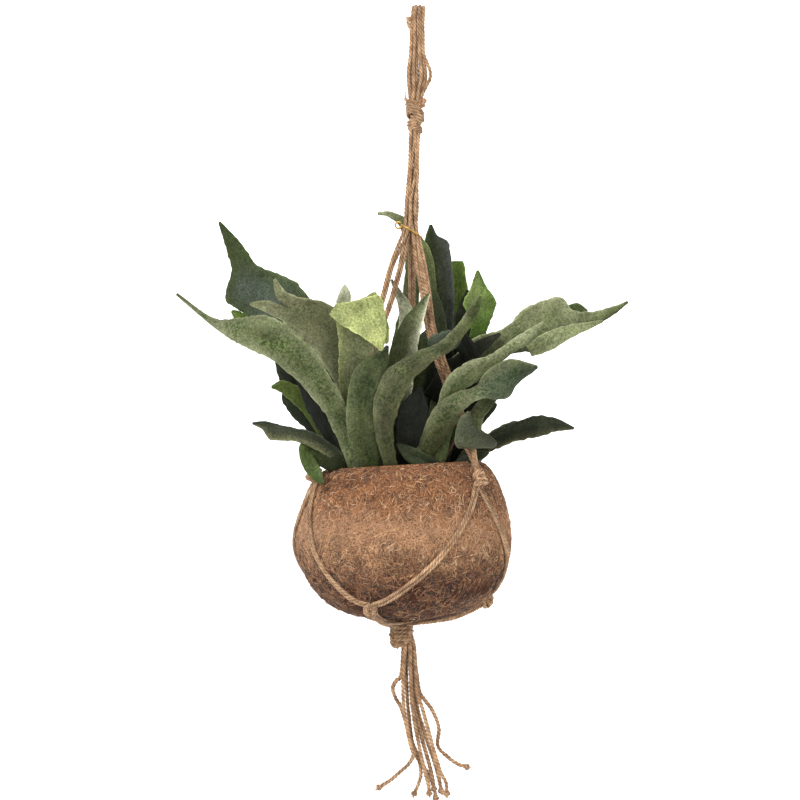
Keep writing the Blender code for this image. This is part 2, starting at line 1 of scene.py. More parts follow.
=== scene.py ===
"""Staghorn fern in a hollow coir pot that hangs in a knotted jute hanger.

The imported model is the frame: +Z is up, the plant's front faces -Y and the origin is the
hook point inside the top of the hanging loop.  Fronds, cords and knots are written in
millimetres from the centre of the pot's mouth, as in the part's own source.
"""

import math

import bpy
import numpy as np
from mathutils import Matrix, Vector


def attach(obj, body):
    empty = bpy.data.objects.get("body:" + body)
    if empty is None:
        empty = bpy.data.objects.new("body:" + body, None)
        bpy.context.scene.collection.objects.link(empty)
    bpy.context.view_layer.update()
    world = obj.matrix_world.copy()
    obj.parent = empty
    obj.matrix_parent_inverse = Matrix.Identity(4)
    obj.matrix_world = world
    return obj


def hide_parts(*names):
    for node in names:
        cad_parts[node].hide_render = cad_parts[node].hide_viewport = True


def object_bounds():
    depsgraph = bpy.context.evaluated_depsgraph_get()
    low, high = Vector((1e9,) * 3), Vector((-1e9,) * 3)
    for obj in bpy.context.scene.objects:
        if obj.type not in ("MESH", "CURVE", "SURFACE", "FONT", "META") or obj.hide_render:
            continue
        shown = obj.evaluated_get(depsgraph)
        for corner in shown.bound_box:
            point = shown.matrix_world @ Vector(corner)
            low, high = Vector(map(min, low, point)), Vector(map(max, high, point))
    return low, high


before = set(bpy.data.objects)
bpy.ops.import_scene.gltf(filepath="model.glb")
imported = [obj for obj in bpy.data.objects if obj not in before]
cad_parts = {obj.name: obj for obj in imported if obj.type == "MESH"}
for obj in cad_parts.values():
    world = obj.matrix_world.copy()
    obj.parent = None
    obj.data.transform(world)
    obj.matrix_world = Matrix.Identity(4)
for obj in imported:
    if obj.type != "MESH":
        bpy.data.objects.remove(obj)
CAD_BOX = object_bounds()

bl_info = {
    "name": "Hanging staghorn fern",
    "version": (1, 0, 0),
    "blender": (4, 5, 0),
    "location": "3D View > Sidebar > Fern",
    "description": "Builds a staghorn fern in a coir pot and its knotted jute hanger",
    "category": "Add Mesh",
}

MM = 0.001

# The hook point, from the centre of the pot's mouth.
HOOK = np.array((16.0, 0.0, 421.0))

# The point of the hook's plane that the camera looks at, in metres across and up.
VIEW_MIDDLE = (-0.0188, -0.3599)
WHITE = (1.0, 1.0, 1.0, 1.0)

# ---------------------------------------------------------------- the maker's tables

# Pot: a flattened ball with an inturned mouth, as (radius, height).
POT_OUTER = (
    (72.0, 0.0), (80.0, -5.5), (89.0, -20.0), (96.5, -42.0), (100.0, -66.0), (98.0, -84.0),
    (91.0, -102.0), (79.0, -119.0), (61.0, -132.0), (36.0, -138.5), (0.0, -140.0),
)
POT_INNER = (
    (68.0, -3.5), (73.0, -13.0), (83.0, -30.0), (89.5, -48.0), (92.0, -66.0), (90.0, -83.0),
    (83.0, -99.0), (72.0, -112.0), (55.0, -123.0), (32.0, -129.5), (0.0, -131.0),
)
ROOT_BALL = (
    (0.0, -11.0), (40.0, -12.0), (60.0, -15.0), (74.0, -27.0), (84.0, -46.0), (87.0, -66.0),
    (84.0, -84.0), (77.0, -98.0), (64.0, -111.0), (40.0, -122.0), (0.0, -126.0),
)

# The share of coir fibres that stand off the felt at one end.
LOOSE_SHARE = 0.06

# Hanging loop: its middle line in a plane of constant x, as y, z, half width.
LOOP_X = 14.0
LOOP = (
    (-2.4, 330.0, 5.2), (-3.8, 338.9, 6.0), (-4.0, 342.0, 6.4), (-7.0, 351.0, 7.6), (-9.6, 362.0, 8.8),
    (-9.8, 380.0, 7.4), (-9.2, 402.0, 7.0), (-8.2, 415.0, 6.8), (-5.2, 422.4, 6.8), (0.0, 424.9, 6.8),
    (5.2, 422.4, 6.8), (8.2, 415.0, 6.8), (9.2, 402.0, 7.0), (9.8, 380.0, 7.4), (9.6, 362.0, 8.8),
    (7.0, 351.0, 7.6), (4.0, 342.0, 6.4), (3.8, 338.9, 6.0), (2.4, 330.0, 5.2),
)

# The loop's strands: offset across it in half widths, how far each springs out above the
# knot and how far it lies in front.
LOOP_STRANDS = (
    (-0.74, -0.6, 0.0), (-0.3, 0.3, 0.9), (0.3, 1.6, 0.7), (0.78, 6.5, 0.0), (-0.52, -1.4, -2.2),
    (0.56, 3.4, -2.0), (0.0, 0.9, -1.4),
)
# A short end that stands off the loop, with a knot on it.
LOOP_STUB = ((9.5, -9.0, 399.0), (6.5, -10.4, 404.0), (4.6, -10.6, 408.5), (5.4, -10.0, 412.0))

# Wraps of the top knot: height, half widths, tilt, its direction and the number of turns.
TOP_WRAPS = (
    (333.0, 7.4, 6.6, 3.6, 0.3, 3), (326.0, 7.0, 6.6, -4.2, 0.9, 3), (319.5, 6.0, 5.8, 2.6, 0.2, 2),
    (312.6, 5.4, 5.2, -1.8, 0.5, 2),
)
TOP_DIAGONAL = (
    (3.6, -6.0, 336.0), (7.0, -9.2, 332.5), (11.5, -9.8, 327.0), (15.0, -8.4, 321.5), (16.4, -4.0, 317.0),
)
CUT_ENDS = (
    ((6.5, -4.0, 336.0), (3.4, -5.0, 338.0), (1.6, -4.6, 340.0)),
    ((15.0, -4.0, 334.0), (19.0, -5.0, 336.5), (21.0, -4.6, 338.6)),
)
FIBRE_CURL = (
    (2.2, -4.4, 340.5), (1.8, -4.8, 344.0), (3.0, -4.4, 346.5), (1.6, -4.2, 348.2), (0.4, -4.6, 347.0),
)

BUNDLE_TOP = np.array((11.0, 0.0, 309.5))
TIE = np.array((7.5, 0.0, 218.0))
TIE_R = 10.0
WIRE_WIDE, WIRE_DEEP, WIRE_SIDES = 1.0, 0.75, 8
ARM_SPREAD = {"left": (-3.6, -2.1), "right": (3.6, -2.1), "back": (0.0, 4.2)}
ARM_BENDS = {"left": (-18.5, -12.0, 143.0), "right": (27.0, -27.0, 120.0), "back": (9.0, 36.0, 120.0)}

# Azimuth in degrees, from the front towards +X, and height.
RIM_KNOTS = {"left": (-66.0, -10.0), "right": (46.0, -17.0), "back": (172.0, -12.0)}
LOWER_KNOTS = {"front": (-21.0, -121.0), "right": (106.0, -121.0), "left": (-134.0, -121.0)}
# Each sling: rim knot, lower knot, and how soon it falls before it swings round.
SLINGS = (
    ("left", "front", 2.5),
    ("left", "left", 2.0),
    ("right", "front", 1.7),
    ("right", "right", 2.0),
    ("back", "left", 2.0),
    ("back", "right", 2.0),
)
KNOT_R = 7.6
GAP = 0.4
GATHER = np.array((-1.5, 0.0, -155.0))
GATHER_R = 11.0
# A slack turn that hangs out at the front of the gathered knot.
SLACK = (
    (-6.0, -6.0, -145.5), (-8.5, -7.0, -150.0), (-9.5, -6.5, -158.0), (-7.5, -5.0, -165.0),
    (-4.5, -3.6, -168.0),
)

# Tassel strands: x, y, z down each strand, which ends in a small knot.
TASSEL_D = 3.6
TASSEL = {
    "left": (
        (2.2, -4.1, -167), (0, -4.6, -198), (1, -5, -226), (6, -6, -254), (9.5, -7, -266), (5, -8, -275),
        (-3, -9, -282), (-11, -10, -289), (-20, -11, -294.5),
    ),
    "bent": (
        (2.2, 4.1, -167), (4, 4.1, -217), (7.5, 3, -249), (10, 2, -265), (15, 1, -274), (16.5, 0, -286),
        (14, 0, -295), (11.5, 0, -301),
    ),
    "front": (
        (6.6, -5.1, -167), (8, -5.1, -217), (14, -4, -254), (19, -3.5, -277), (23.5, -3, -295),
        (24, -3, -300),
    ),
    "middle": (
        (5.4, 0, -167), (9, 0, -217), (18, 0.5, -254), (25.5, 1, -281), (29, 1, -299), (30, 1, -305),
    ),
    "back": (
        (6.6, 5.1, -167), (12, 5, -217), (22, 5, -254), (31, 5, -281), (34.5, 5, -296), (35, 5, -299),
    ),
    "right": (
        (10.1, -2.3, -167), (13, -3, -207), (18.5, -4, -226), (26, -5, -254), (34, -5, -281),
        (39.5, -5, -292), (40.5, -5, -300),
    ),
    "far": (
        (10.1, 2.3, -167), (14.5, 3.5, -206), (20, 6, -217), (26.5, 8, -226), (31.5, 9, -237),
        (33.5, 10, -246), (32.5, 11, -261), (42, 12, -271.5), (51, 13, -278), (57, 13, -280),
    ),
    "loop": (
        (0.2, 0, -167), (-2, 0, -193.5), (-6.5, 0, -199), (-9.5, 1, -206.5), (-6.5, 3, -216),
        (-2, 6, -224), (3, 9, -240), (9, 10.5, -258), (18, 11, -277), (26, 10.5, -292), (28, 10, -298),
    ),
}

# Each row is x, y, z, half width and roll in degrees; a row of six numbers has a half width
# for each edge.  The first edge is on the left of a frond that grows up.  A row faces the
# front at roll 0, and a positive roll brings its second edge forward.  Lobes carry on from
# the last row, which they share between them.
FRONDS = {
    "frond_blue_upper_left": {
        "cup": -0.15,
        "spine": [
            (-46, 16, -4, 6, 0), (-66, 22, 58, 13, 0), (-90, 26, 110, 24, 24, 10),
            (-118, 26, 146, 30, 31, 10), (-132, 25, 160, 26, 25, 10), (-146, 22, 172, 26, 20, 10),
            (-152, 20, 184, 9, 14, 5), (-159, 16, 204, 6, 8, 0), (-171, 12, 227, 0.8, 0),
        ],
    },
    "frond_long_left": {
        "cup": -0.25,
        "spine": [
            (-42, -46, -3, 6, 0), (-54, -53, 36, 9, 10), (-70, -70, 68, 12, 20), (-98, -80, 101, 16, 20),
            (-126, -78, 120, 17, 10), (-148, -70, 124, 11, 0), (-172, -60, 132, 3, 0),
            (-205, -50, 157, 0.8, 0),
        ],
    },
    "frond_forked_left": {
        "cup": 0.15,
        "spine": [
            (-36, 2, -3, 6, 0), (-45, -2, 61, 10, 0), (-60, -6, 112, 22, 0), (-82, -12, 132, 22, 10),
            (-104, -18, 145, 13, 10),
        ],
        "lobes": [
            [(-125, -24, 147, 5, 0), (-140, -28, 149, 0.8, 0)],
            [(-112, -20, 158, 5, 0), (-118, -22, 172, 0.8, 0)],
        ],
    },
    "frond_bright_flap": {
        "cup": 0.1,
        "spine": [
            (-45, -34, -3, 6, 0), (-47, -46, 50, 8, 0), (-48, -54, 84, 10, 10, 0),
            (-45, -66, 108, 13, 18, 0), (-41, -72, 128, 19, 20, 0), (-29, -77, 137, 17, 30, 0),
            (-18, -80, 141, 18, 16, 0),
        ],
    },
    "frond_front_tongue": {
        "cup": -0.25,
        "spine": [
            (-27, -55, -3, 7, 0), (-35, -68, 30, 14, 13, 0), (-37, -71, 60, 13, 0), (-31, -70, 84, 13, 0),
            (-20, -60, 98, 7, 0), (-14, -50, 110, 0.8, 0),
        ],
    },
    "frond_centre_curl": {
        "cup": -0.2,
        "spine": [
            (-10, -60, -3, 5, 0), (-17, -74, 33, 8, 0), (-14, -77, 61, 12, 10), (-4, -74, 82, 13, 25),
            (16, -64, 98, 9, 30), (38, -53, 110, 6, 20), (55, -46, 128, 5, 10), (66, -34, 146, 4, 0),
            (70, -28, 156, 0.8, 0),
        ],
    },
    "frond_pale_centre": {
        "cup": 0.3,
        "spine": [
            (-4, -26, -3, 6, 0), (-2, -30, 60, 9, 0), (0, -32, 100, 12, 10), (8, -34, 130, 10, 20),
            (24, -34, 158, 0.8, 20),
        ],
    },
    "frond_pale_spike": {
        "cup": 0.2,
        "spine": [
            (-8, -2, -3, 6, 0), (-4, 0, 60, 8, 0), (4, 2, 118, 9, 0), (2, 4, 146, 6, 0),
            (-11, 4, 173, 0.8, 0),
        ],
    },
    "frond_tall_strap": {
        "cup": -0.2,
        "spine": [
            (14, 16, -3, 7, 0), (27, 28, 70, 9, 0), (37, 34, 126, 9, 0), (40, 36, 154, 8, 0),
            (38, 36, 174, 9, 0), (34, 36, 193, 11, 0), (30, 35, 206, 13, 0), (27, 34, 214, 6, 0),
            (26, 33, 226, 0.8, 0),
        ],
    },
    "frond_green_behind": {
        "cup": 0.2,
        "spine": [
            (22, 40, -3, 6, 0), (38, 52, 80, 9, 0), (52, 56, 150, 9, 0), (52, 56, 182, 7, 0),
            (52, 55, 193, 5, 0),
        ],
    },
    "frond_green_lobed": {
        "cup": 0.15,
        "spine": [
            (34, 4, -3, 6, 0), (52, 6, 70, 9, 0), (66, 4, 110, 7, 0), (71, 2, 130, 8, 0),
            (71, 0, 151, 15, 0), (70, -2, 164, 8, 0), (69, -3, 181, 0.8, 0),
        ],
    },
    "frond_grey_right": {
        "cup": 0.15,
        "spine": [
            (20, -8, -3, 6, 0), (40, -8, 74, 9, 0), (70, -10, 106, 12, -10), (99, -14, 117, 12, 14, -10),
            (118, -18, 126, 20, 23, -10), (134, -20, 132, 21, 19, -10), (147, -22, 134, 21, 15, -5),
            (156, -23, 134, 10, 13, 0), (174, -24, 136, 6, 7, 0), (192, -24, 143, 3.5, 0),
            (206, -24, 151, 0.8, 0),
        ],
    },
    "frond_light_right": {
        "cup": -0.2,
        "spine": [
            (30, -47, -3, 6, 0), (43, -57, 66, 9, 0), (61, -57, 86, 10, 10), (80, -54, 96, 6, 20),
            (95, -51, 107, 5, 20), (113, -50, 119, 5, 20), (128, -50, 132, 0.8, 20),
        ],
    },
    "frond_speckled_right": {
        "cup": -0.2,
        "spine": [
            (12, -50, -3, 6, 0), (22, -53, 18, 8, 0), (36, -65, 44, 12, 0), (50, -70, 60, 9, 20),
            (66, -70, 68, 7, 9, 40), (82, -67, 78, 12, 19, 20), (99, -64, 88, 10, 13, 0),
            (121, -62, 91, 0.8, 0),
        ],
    },
    "frond_stalk_right": {
        "cup": -0.2,
        "spine": [
            (50, -20, -3, 5, 0), (64, -26, 22, 5, 0), (67, -30, 45, 6, 0), (77, -34, 60, 6, 0),
            (92, -36, 74, 0.8, 0),
        ],
    },
    "frond_dark_right": {
        "cup": 0.25,
        "spine": [
            (48, -4, -3, 5, 0), (75, -10, 19, 7, 20), (99, -16, 31, 9, 30), (124, -20, 37, 10, 20),
            (141, -20, 38, 6, 10), (157, -20, 35, 0.8, 0),
        ],
    },
    "frond_folded_right": {
        "cup": -0.2,
        "spine": [
            (50, -28, -5, 4, 0), (67, -34, 13, 4, 0), (81, -56, 20, 4, 0), (59, -74, 28, 14, 11, 12),
            (57, -76, 40, 8, 5, 6), (59, -76, 51, 0.8, 0),
        ],
    },
    "frond_low_front": {
        "cup": 0.1,
        "spine": [(35, -52, -5, 5, 0), (26, -60, 4, 5, 10), (8, -62, 11, 7, 10), (-6, -62, 22, 0.8, 0)],
    },
    "frond_dark_centre": {
        "cup": 0.15,
        "spine": [(6, -42, -3, 8, 0), (8, -49, 24, 14, 0), (10, -50, 50, 14, 0), (15, -48, 74, 0.8, 0)],
    },
    "frond_low_left": {
        "cup": 0.3,
        "spine": [
            (-47, -40, -5, 5, 0), (-63, -46, 13, 6, 20), (-84, -54, 26, 7, 20), (-100, -54, 30, 6, 0),
            (-116, -48, 34, 10, 6, -20), (-126, -44, 39, 5, 3, 0), (-137, -42, 40, 0.8, 0),
        ],
    },
    "frond_rim_left": {
        "cup": -0.2,
        "spine": [
            (-55, -30, -5, 4, 0), (-63, -36, 9, 5, 0), (-79, -43, 20, 5, 20), (-89, -48, 17, 6, 30),
            (-85, -56, 5, 6, 20), (-78, -62, -6, 5, 0), (-72, -66, -14, 0.8, 0),
        ],
    },
    "frond_narrow_left": {
        "cup": -0.2,
        "spine": [
            (-59, -14, -5, 4, 0), (-72, -16, 28, 5, 0), (-86, -16, 52, 6, 0), (-100, -16, 67, 7, 0),
            (-112, -16, 74, 5, 0), (-121, -16, 73, 0.8, 0),
        ],
    },
    "frond_dark_left": {
        "cup": -0.2,
        "spine": [
            (-56, 0, -4, 6, 0), (-76, 2, 42, 12, 0), (-94, 2, 72, 16, 0), (-108, 0, 92, 10, 0),
            (-118, -2, 106, 0.8, 0),
        ],
    },
    "frond_thin_tip": {
        "cup": -0.2,
        "spine": [
            (-12, 44, -3, 6, 0), (-8, 56, 80, 9, 0), (6, 54, 150, 8, 0), (9, 48, 198, 6, 0),
            (2, 44, 226, 5, 0), (-12, 42, 236, 2.5, 0), (-24, 40, 237, 0.8, 0),
        ],
    },
    "frond_dark_behind": {
        "cup": 0.1,
        "spine": [
            (34, 26, -3, 6, 0), (50, 24, 70, 10, 0), (58, 22, 116, 11, 0), (60, 20, 144, 9, 0),
            (60, 18, 164, 0.8, 0),
        ],
    },
    "frond_dark_crossing": {
        "cup": -0.1,
        "spine": [
            (46, -14, -3, 5, 0), (64, -20, 60, 7, 0), (62, -30, 100, 8, 20), (47, -40, 118, 9, 20),
            (28, -42, 115, 0.8, 0),
        ],
    },
    "frond_back_left": {
        "cup": -0.2,
        "spine": [
            (-34, 34, -3, 6, -20), (-52, 58, 48, 12, -30), (-76, 86, 88, 17, -35),
            (-98, 110, 108, 13, -30), (-118, 128, 112, 0.8, -20),
        ],
    },
    "frond_back_middle": {
        "cup": -0.2,
        "spine": [(-14, 54, -4, 6, 0), (-30, 80, 58, 11, 0), (-38, 104, 104, 14, 0)],
        "lobes": [
            [(-48, 118, 128, 7, 0), (-54, 126, 146, 0.8, 0)],
            [(-30, 120, 130, 7, 0), (-26, 130, 150, 0.8, 0)],
        ],
    },
    "frond_back_right": {
        "cup": -0.2,
        "spine": [
            (38, 44, -4, 6, 20), (52, 66, 48, 12, 30), (70, 90, 84, 17, 35), (86, 108, 104, 12, 30),
            (100, 124, 114, 0.8, 20),
        ],
    },
    "frond_back_low": {
        "cup": -0.2,
        "spine": [
            (50, 20, -5, 5, 0), (60, 27, 12, 6, 0), (84, 46, 22, 8, 0), (108, 64, 32, 9, 0),
            (136, 78, 36, 0.8, 0),
        ],
    },
    "shield_frond": {
        "cup": 0.3,
        "spine": [
            (-42, -20, -4, 9, 0), (-49, -19, 14, 12, 0), (-53, -17, 30, 11, 0), (-55, -16, 44, 4, 0),
        ],
    },
}



def skin(speckle, ripple, tints, **edges):
    """How speckled a blade is, how far its margins ripple in millimetres, its tints from base
    to tip and, where they differ, the tints of its first and second edge."""
    return {"speckle": speckle, "ripple": ripple, "tints": tints.split(), **edges}


# The tints carry painted shade where a blade lies deep in the crown or under other fronds, mostly towards its
# base; the edge tints hold painted highlight on a lit edge and painted shade on a shaded one.
LOOKS = {
    # Its bluish-grey middle tints are a painted sheen.
    "blue_upper_left": skin(
        0.3, 2.6, "#35402c #525c58 #646f6c #5c6763 #4a5438 #465230", first="#46542f", second="#4a5a33",
    ),
    "long_left": skin(
        0.9, 1.6, "#6c765a #6c7556 #626c4a #737d58 #8d947a #4d5c33", first="#9aa186", second="#7f876c",
    ),
    "forked_left": skin(0.55, 2.2, "#23271b #3d412c #7b7f63 #979a80 #9aa07f", first="#9da288"),
    # The bright yellow-green tints towards its tip are painted light shining through the thin flap.
    "bright_flap": skin(0.25, 1.2, "#5d6648 #767d60 #7d8468 #7f8766 #a2ae78 #aab67e", first="#8b9468"),
    "front_tongue": skin(1.0, 1.0, "#46502f #454e2e #4b5636 #3e4a33", first="#6d775a", second="#5d674c"),
    "centre_curl": skin(1.0, 1.2, "#4b5036 #505339 #5c6045 #60634a #56603c #4b5a2c", first="#7b8066"),
    "pale_centre": skin(0.35, 1.2, "#46502f #5b6444 #5f6548 #7d8468", first="#3c4826", second="#d5d9c8"),
    "pale_spike": skin(0.15, 0.8, "#59634a #8f967e #b9bfab #bfc5b1 #4c4a44", first="#cdd1c0"),
    "tall_strap": skin(
        0.15, 1.4, "#232a1c #363d30 #3f463a #373f2d #3e4c2c", first="#5f6c48", second="#565d5f",
    ),
    "green_behind": skin(0.15, 1.0, "#26301a #4a5f26 #68823a #728c42"),
    "green_lobed": skin(0.15, 1.6, "#232d17 #3b5024 #52702c #8ba066 #7c9556", second="#57742f"),
    "grey_right": skin(
        0.5, 2.0, "#39422a #5c6647 #7b8464 #959d7d #8f977a #7f8865 #6c7950", first="#99a182",
        second="#2e3528",
    ),
    "light_right": skin(
        0.6, 1.2, "#4d5835 #616b49 #74795c #9aa184 #b4baa0", first="#a7ad92", second="#5c6746",
    ),
    "speckled_right": skin(
        0.9, 1.4, "#43472e #4b4c30 #5f6348 #7c8168 #5a6553 #4c5747 #434d3d", first="#7f856b",
    ),
    "stalk_right": skin(0.4, 0.6, "#5b6444 #6b7354 #7d8562 #454d33 #2b3022", first="#8f967a"),
    # The near-black tints of dark_right, low_front, dark_centre, dark_left, dark_behind and dark_crossing are
    # painted shade, where these fronds lie under others and deep in the crown.
    "dark_right": skin(0.3, 1.5, "#23281c #2f3426 #353b2c #2e3427", first="#41483a", second="#565640"),
    "folded_right": skin(0.35, 1.0, "#2f3526 #454a3a #5b6152 #4b5142", first="#6b725f", second="#3c4235"),
    "low_front": skin(0.1, 1.2, "#262c1c #333c28 #39432e #2f3826", first="#465039"),
    "dark_centre": skin(0.3, 1.2, "#1a1c17 #22251f #2f3430 #2a2f29"),
    "low_left": skin(
        0.5, 1.6, "#333a28 #3f4636 #454b3a #424837 #3c4430", first="#808266", second="#343c34",
    ),
    "rim_left": skin(0.2, 1.0, "#3a4826 #4d5c33 #566a36 #46602a", first="#6c7a50"),
    "narrow_left": skin(0.15, 1.4, "#36431f #4b5c28 #5f7135 #566a2e", second="#71834a"),
    "dark_left": skin(0.2, 1.6, "#171b12 #20261a #272e1f #2b3322"),
    "thin_tip": skin(0.2, 0.8, "#2e3621 #4d573a #6b7350 #828a68 #b9c0a6"),
    "dark_behind": skin(0.2, 1.4, "#171c11 #1f2517 #2a3220"),
    "dark_crossing": skin(0.3, 1.2, "#12160e #161b11 #1b2016 #2c3326"),
    "back_left": skin(0.6, 1.8, "#39422a #525b3e #69714f #747b5d", first="#7d8468"),
    "back_middle": skin(0.6, 1.6, "#353d27 #4b5439 #5f6848 #6f7757", second="#7a8163"),
    "back_right": skin(0.6, 1.8, "#39422a #4f583b #636c4b #757c5e", second="#7d8468"),
    "back_low": skin(0.4, 1.4, "#2b3220 #3b432e #4a5239 #434b35", first="#5c6449"),
    "shield": skin(0.8, 1.2, "#2c1d15 #38251a #402b1e #33211a", first="#4a3324"),
}

# Side lobes, folds and half-hidden leaves that have no part of their own, each with its skin; the near-black
# ones are painted shade in the gaps of the crown.
SIDE_LEAVES = {
    "pale_bud": {
        "spine": [
            (-58, 10, 118, 3, 0), (-56, 9, 148, 6, 0), (-54, 8, 160, 5, 0), (-54, 8, 168, 0.8, 0),
        ],
        **skin(0.25, 0.8, "#8a9273 #d9ddcd"),
    },
    "green_lobe": {
        "spine": [
            (-138, 33, 126, 3, 0), (-149, 34, 135, 5, 0), (-156, 34, 141, 4, 0), (-161, 34, 145, 0.8, 0),
        ],
        **skin(0.25, 0.8, "#53692f #6b8638"),
    },
    "blue_lobe": {
        "spine": [
            (-112, 27, 140, 14, 0), (-110, 27, 158, 10, 0), (-111, 27, 169, 6, 0),
            (-113, 27, 175, 0.8, 0),
        ],
        **skin(0.25, 0.8, "#4f5b48 #566a36 #506430"),
    },
    "dark_lobe": {
        "spine": [
            (140, -10, 133, 3, 0), (151, -10, 141, 5, 0), (161, -10, 145, 5, 0), (170, -10, 143, 0.8, 0),
        ],
        **skin(0.25, 0.8, "#4c5a3a #5c6c44"),
    },
    # The fold's bright yellow-green tints are painted light shining through the thin flap.
    "flap_fold": {
        "spine": [
            (-63, -84, 142, 5, 5, 0), (-51, -86, 135, 17, 8, 0), (-40, -87, 128, 32, 8, 0),
            (-29, -87, 118.5, 19, 5, 0), (-23.5, -87, 112, 10, 3, 0), (-19, -86, 105, 0.8, 0),
        ],
        "cup": 0.12,
        **skin(0.3, 0.9, "#a3ae7c #b3be86 #bcc88c #c0cb8e #b7c283", first="#a9b47c"),
    },
    "grey_fold": {
        "spine": [
            (115, -30, 105.6, 5, 0), (131.5, -30, 113.9, 8, 0), (150, -30, 123, 6, 0),
            (168.5, -30, 128.7, 3, 0), (182.4, -30, 133.3, 0.8, 0),
        ],
        **skin(0.4, 0.8, "#8b9472 #a0a988 #98a17f #7f8967"),
    },
    # Near-black: painted shade in a gap between the fronds.
    "dark_wedge": {
        "spine": [
            (26, -12, 62, 8, 0), (42, -20, 88, 7.5, 0), (55, -21, 98, 6.5, 0), (71, -21, 110, 6, 0),
            (89, -20, 122, 0.8, 0),
        ],
        **skin(0.25, 0.8, "#12150e #1e2218 #23271c #2c3024"),
    },
    "crossing_flap": {
        "spine": [
            (53, -43, 117, 2, 0), (45, -44, 116, 8, 0), (35, -45, 112.5, 9.5, 0), (26, -45, 110, 7.5, 0),
            (23, -45, 109, 3, 0),
        ],
        **skin(0.25, 0.8, "#2c3429 #49544a #4b574a #3f4a3a"),
    },
    "inner_olive": {
        "spine": [
            (10, 10, -3, 5, 0), (14, 10, 50, 8, 0), (18, 9, 95, 10, 0), (21, 8, 116, 8, 0),
            (22, 8, 126, 0.8, 0),
        ],
        **skin(0.25, 0.8, "#1a2013 #4a5836 #4c5b38 #3a4628 #2a331f", second="#1d2416"),
    },
    # inner_black and inner_right: near-black leaves, painted shade deep in the crown.
    "inner_black": {
        "spine": [
            (26, 14, -3, 10, 0), (31, 14, 50, 13, 0), (36, 12, 95, 12, 0), (37, 10, 112, 8, 0),
            (38, 10, 122, 0.8, 0),
        ],
        **skin(0.25, 0.8, "#0e110b #13170f #191e14"),
    },
    "inner_right": {
        "spine": [
            (40, 10, -3, 9, 0), (50, 10, 40, 12, 0), (58, 8, 74, 11, 0), (64, 6, 92, 6, 0),
            (68, 5, 100, 0.8, 0),
        ],
        **skin(0.25, 0.8, "#0f120c #171c12 #20261a"),
    },
    "strap_side": {
        "spine": [
            (26, 8, 70, 6, 0), (30, 8, 105, 10, 0), (31, 7, 132, 9, 0), (30, 6, 152, 5, 0),
            (29, 6, 163, 0.8, 0),
        ],
        **skin(0.25, 0.8, "#191e13 #3d462f #48533a #4d5a3b"),
    },
    "strap_stripe": {
        "spine": [
            (30, 28, 148, 2, 0), (27, 28, 172, 3.5, 0), (24.5, 28, 188, 4.5, 0), (20.5, 28, 201, 4.5, 0),
            (16, 28, 210.5, 3, 0), (13, 28, 214, 0.8, 0),
        ],
        **skin(0.25, 0.8, "#59643f #7d8a5e #8b986c #7d8a5e"),
    },
    # dark_skirt and under_left: near-black leaves, painted shade under the fronds at the left.
    "dark_skirt": {
        "spine": [
            (-52, -34, -2, 5, 0), (-62, -38, 20, 5, 0), (-72, -39, 40, 7, 0), (-78.5, -39, 55, 8.5, 0),
            (-86, -38, 70, 7.5, 0), (-94, -36, 85, 5, 0), (-105, -34, 98, 0.8, 0),
        ],
        **skin(0.25, 0.8, "#16190f #1c2019 #1f2320 #1d221c #2b3126", second="#2f3330"),
    },
    "under_left": {
        "spine": [
            (-58, -7, -3, 5, 0), (-80, -9, 34, 7, 0), (-95, -9, 52, 9, 0), (-104, -9, 66, 8, 0),
            (-107, -9, 78, 0.8, 0),
        ],
        **skin(0.25, 0.8, "#161b10 #1e2617 #27311d #2e3a24"),
    },
    "olive_foot": {
        "spine": [
            (-46, -36, -5, 6, 0), (-58, -41, 2, 8, 0), (-70, -43, 9, 9.5, 0), (-82, -44, 19, 6, 0),
            (-90, -44, 26, 0.8, 0),
        ],
        **skin(0.25, 0.8, "#1f2615 #2c371b #37441f #4a5a34", second="#333f24"),
    },
    "foot_right": {
        "spine": [
            (44, -40, -6, 6, 0), (58, -42, 6, 6, 0), (72, -42, 12, 4, 0), (78, -42, 14, 0.8, 0),
        ],
        **skin(0.25, 0.8, "#1b2013 #2f3824 #3f4a30"),
    },
    "knob_right": {
        "spine": [
            (68, -10, 36, 2, 0), (77, -10, 48, 3, 0), (83, -10, 55, 2.6, 0), (86, -10, 58, 0.8, 0),
        ],
        **skin(0.25, 0.8, "#2a301f #3a4230"),
    },
}

# Young reddish stalks between the fronds at the right: foot, bend and top.
YOUNG_STALKS = (
    ((30, -36, -4), (36, -40, 14), (42, -41, 30), (45, -40, 42)),
    ((33, -34, -4), (40, -38, 12), (47, -39, 25), (52, -38, 35)),
    ((28, -30, -4), (31, -36, 16), (35, -38, 32), (37, -36, 46)),
)

STALK_SIDES = 10

# The blades' tints are written as they look in full light; their skins are this much darker.
BLADE_TONE = np.array((0.54, 0.52, 0.43))
# What is left of red, green and blue where the hairs are rubbed off a blade.
BARE_GREEN = (0.24, 0.44, 0.10, 1.0)

# ---------------------------------------------------------------- colours and shapes


def linear(code):
    """An sRGB hex colour as linear red, green, blue and alpha."""
    parts = [int(code[i : i + 2], 16) / 255.0 for i in (1, 3, 5)]
    return (*(c / 12.92 if c <= 0.04045 else ((c + 0.055) / 1.055) ** 2.4 for c in parts), 1.0)


def hues(*codes):
    """Several hex colours as one array of linear red, green and blue."""
    return np.array([linear(c)[:3] for c in codes])


def plain_tint(code, points):
    """One hex colour for every point."""
    return np.tile(hues(code), (len(points), 1))


def unit(vectors):
    """Vectors divided by their lengths, along the last axis."""
    vectors = np.asarray(vectors, dtype=float)
    return vectors / (np.linalg.norm(vectors, axis=-1, keepdims=True) + 1e-12)


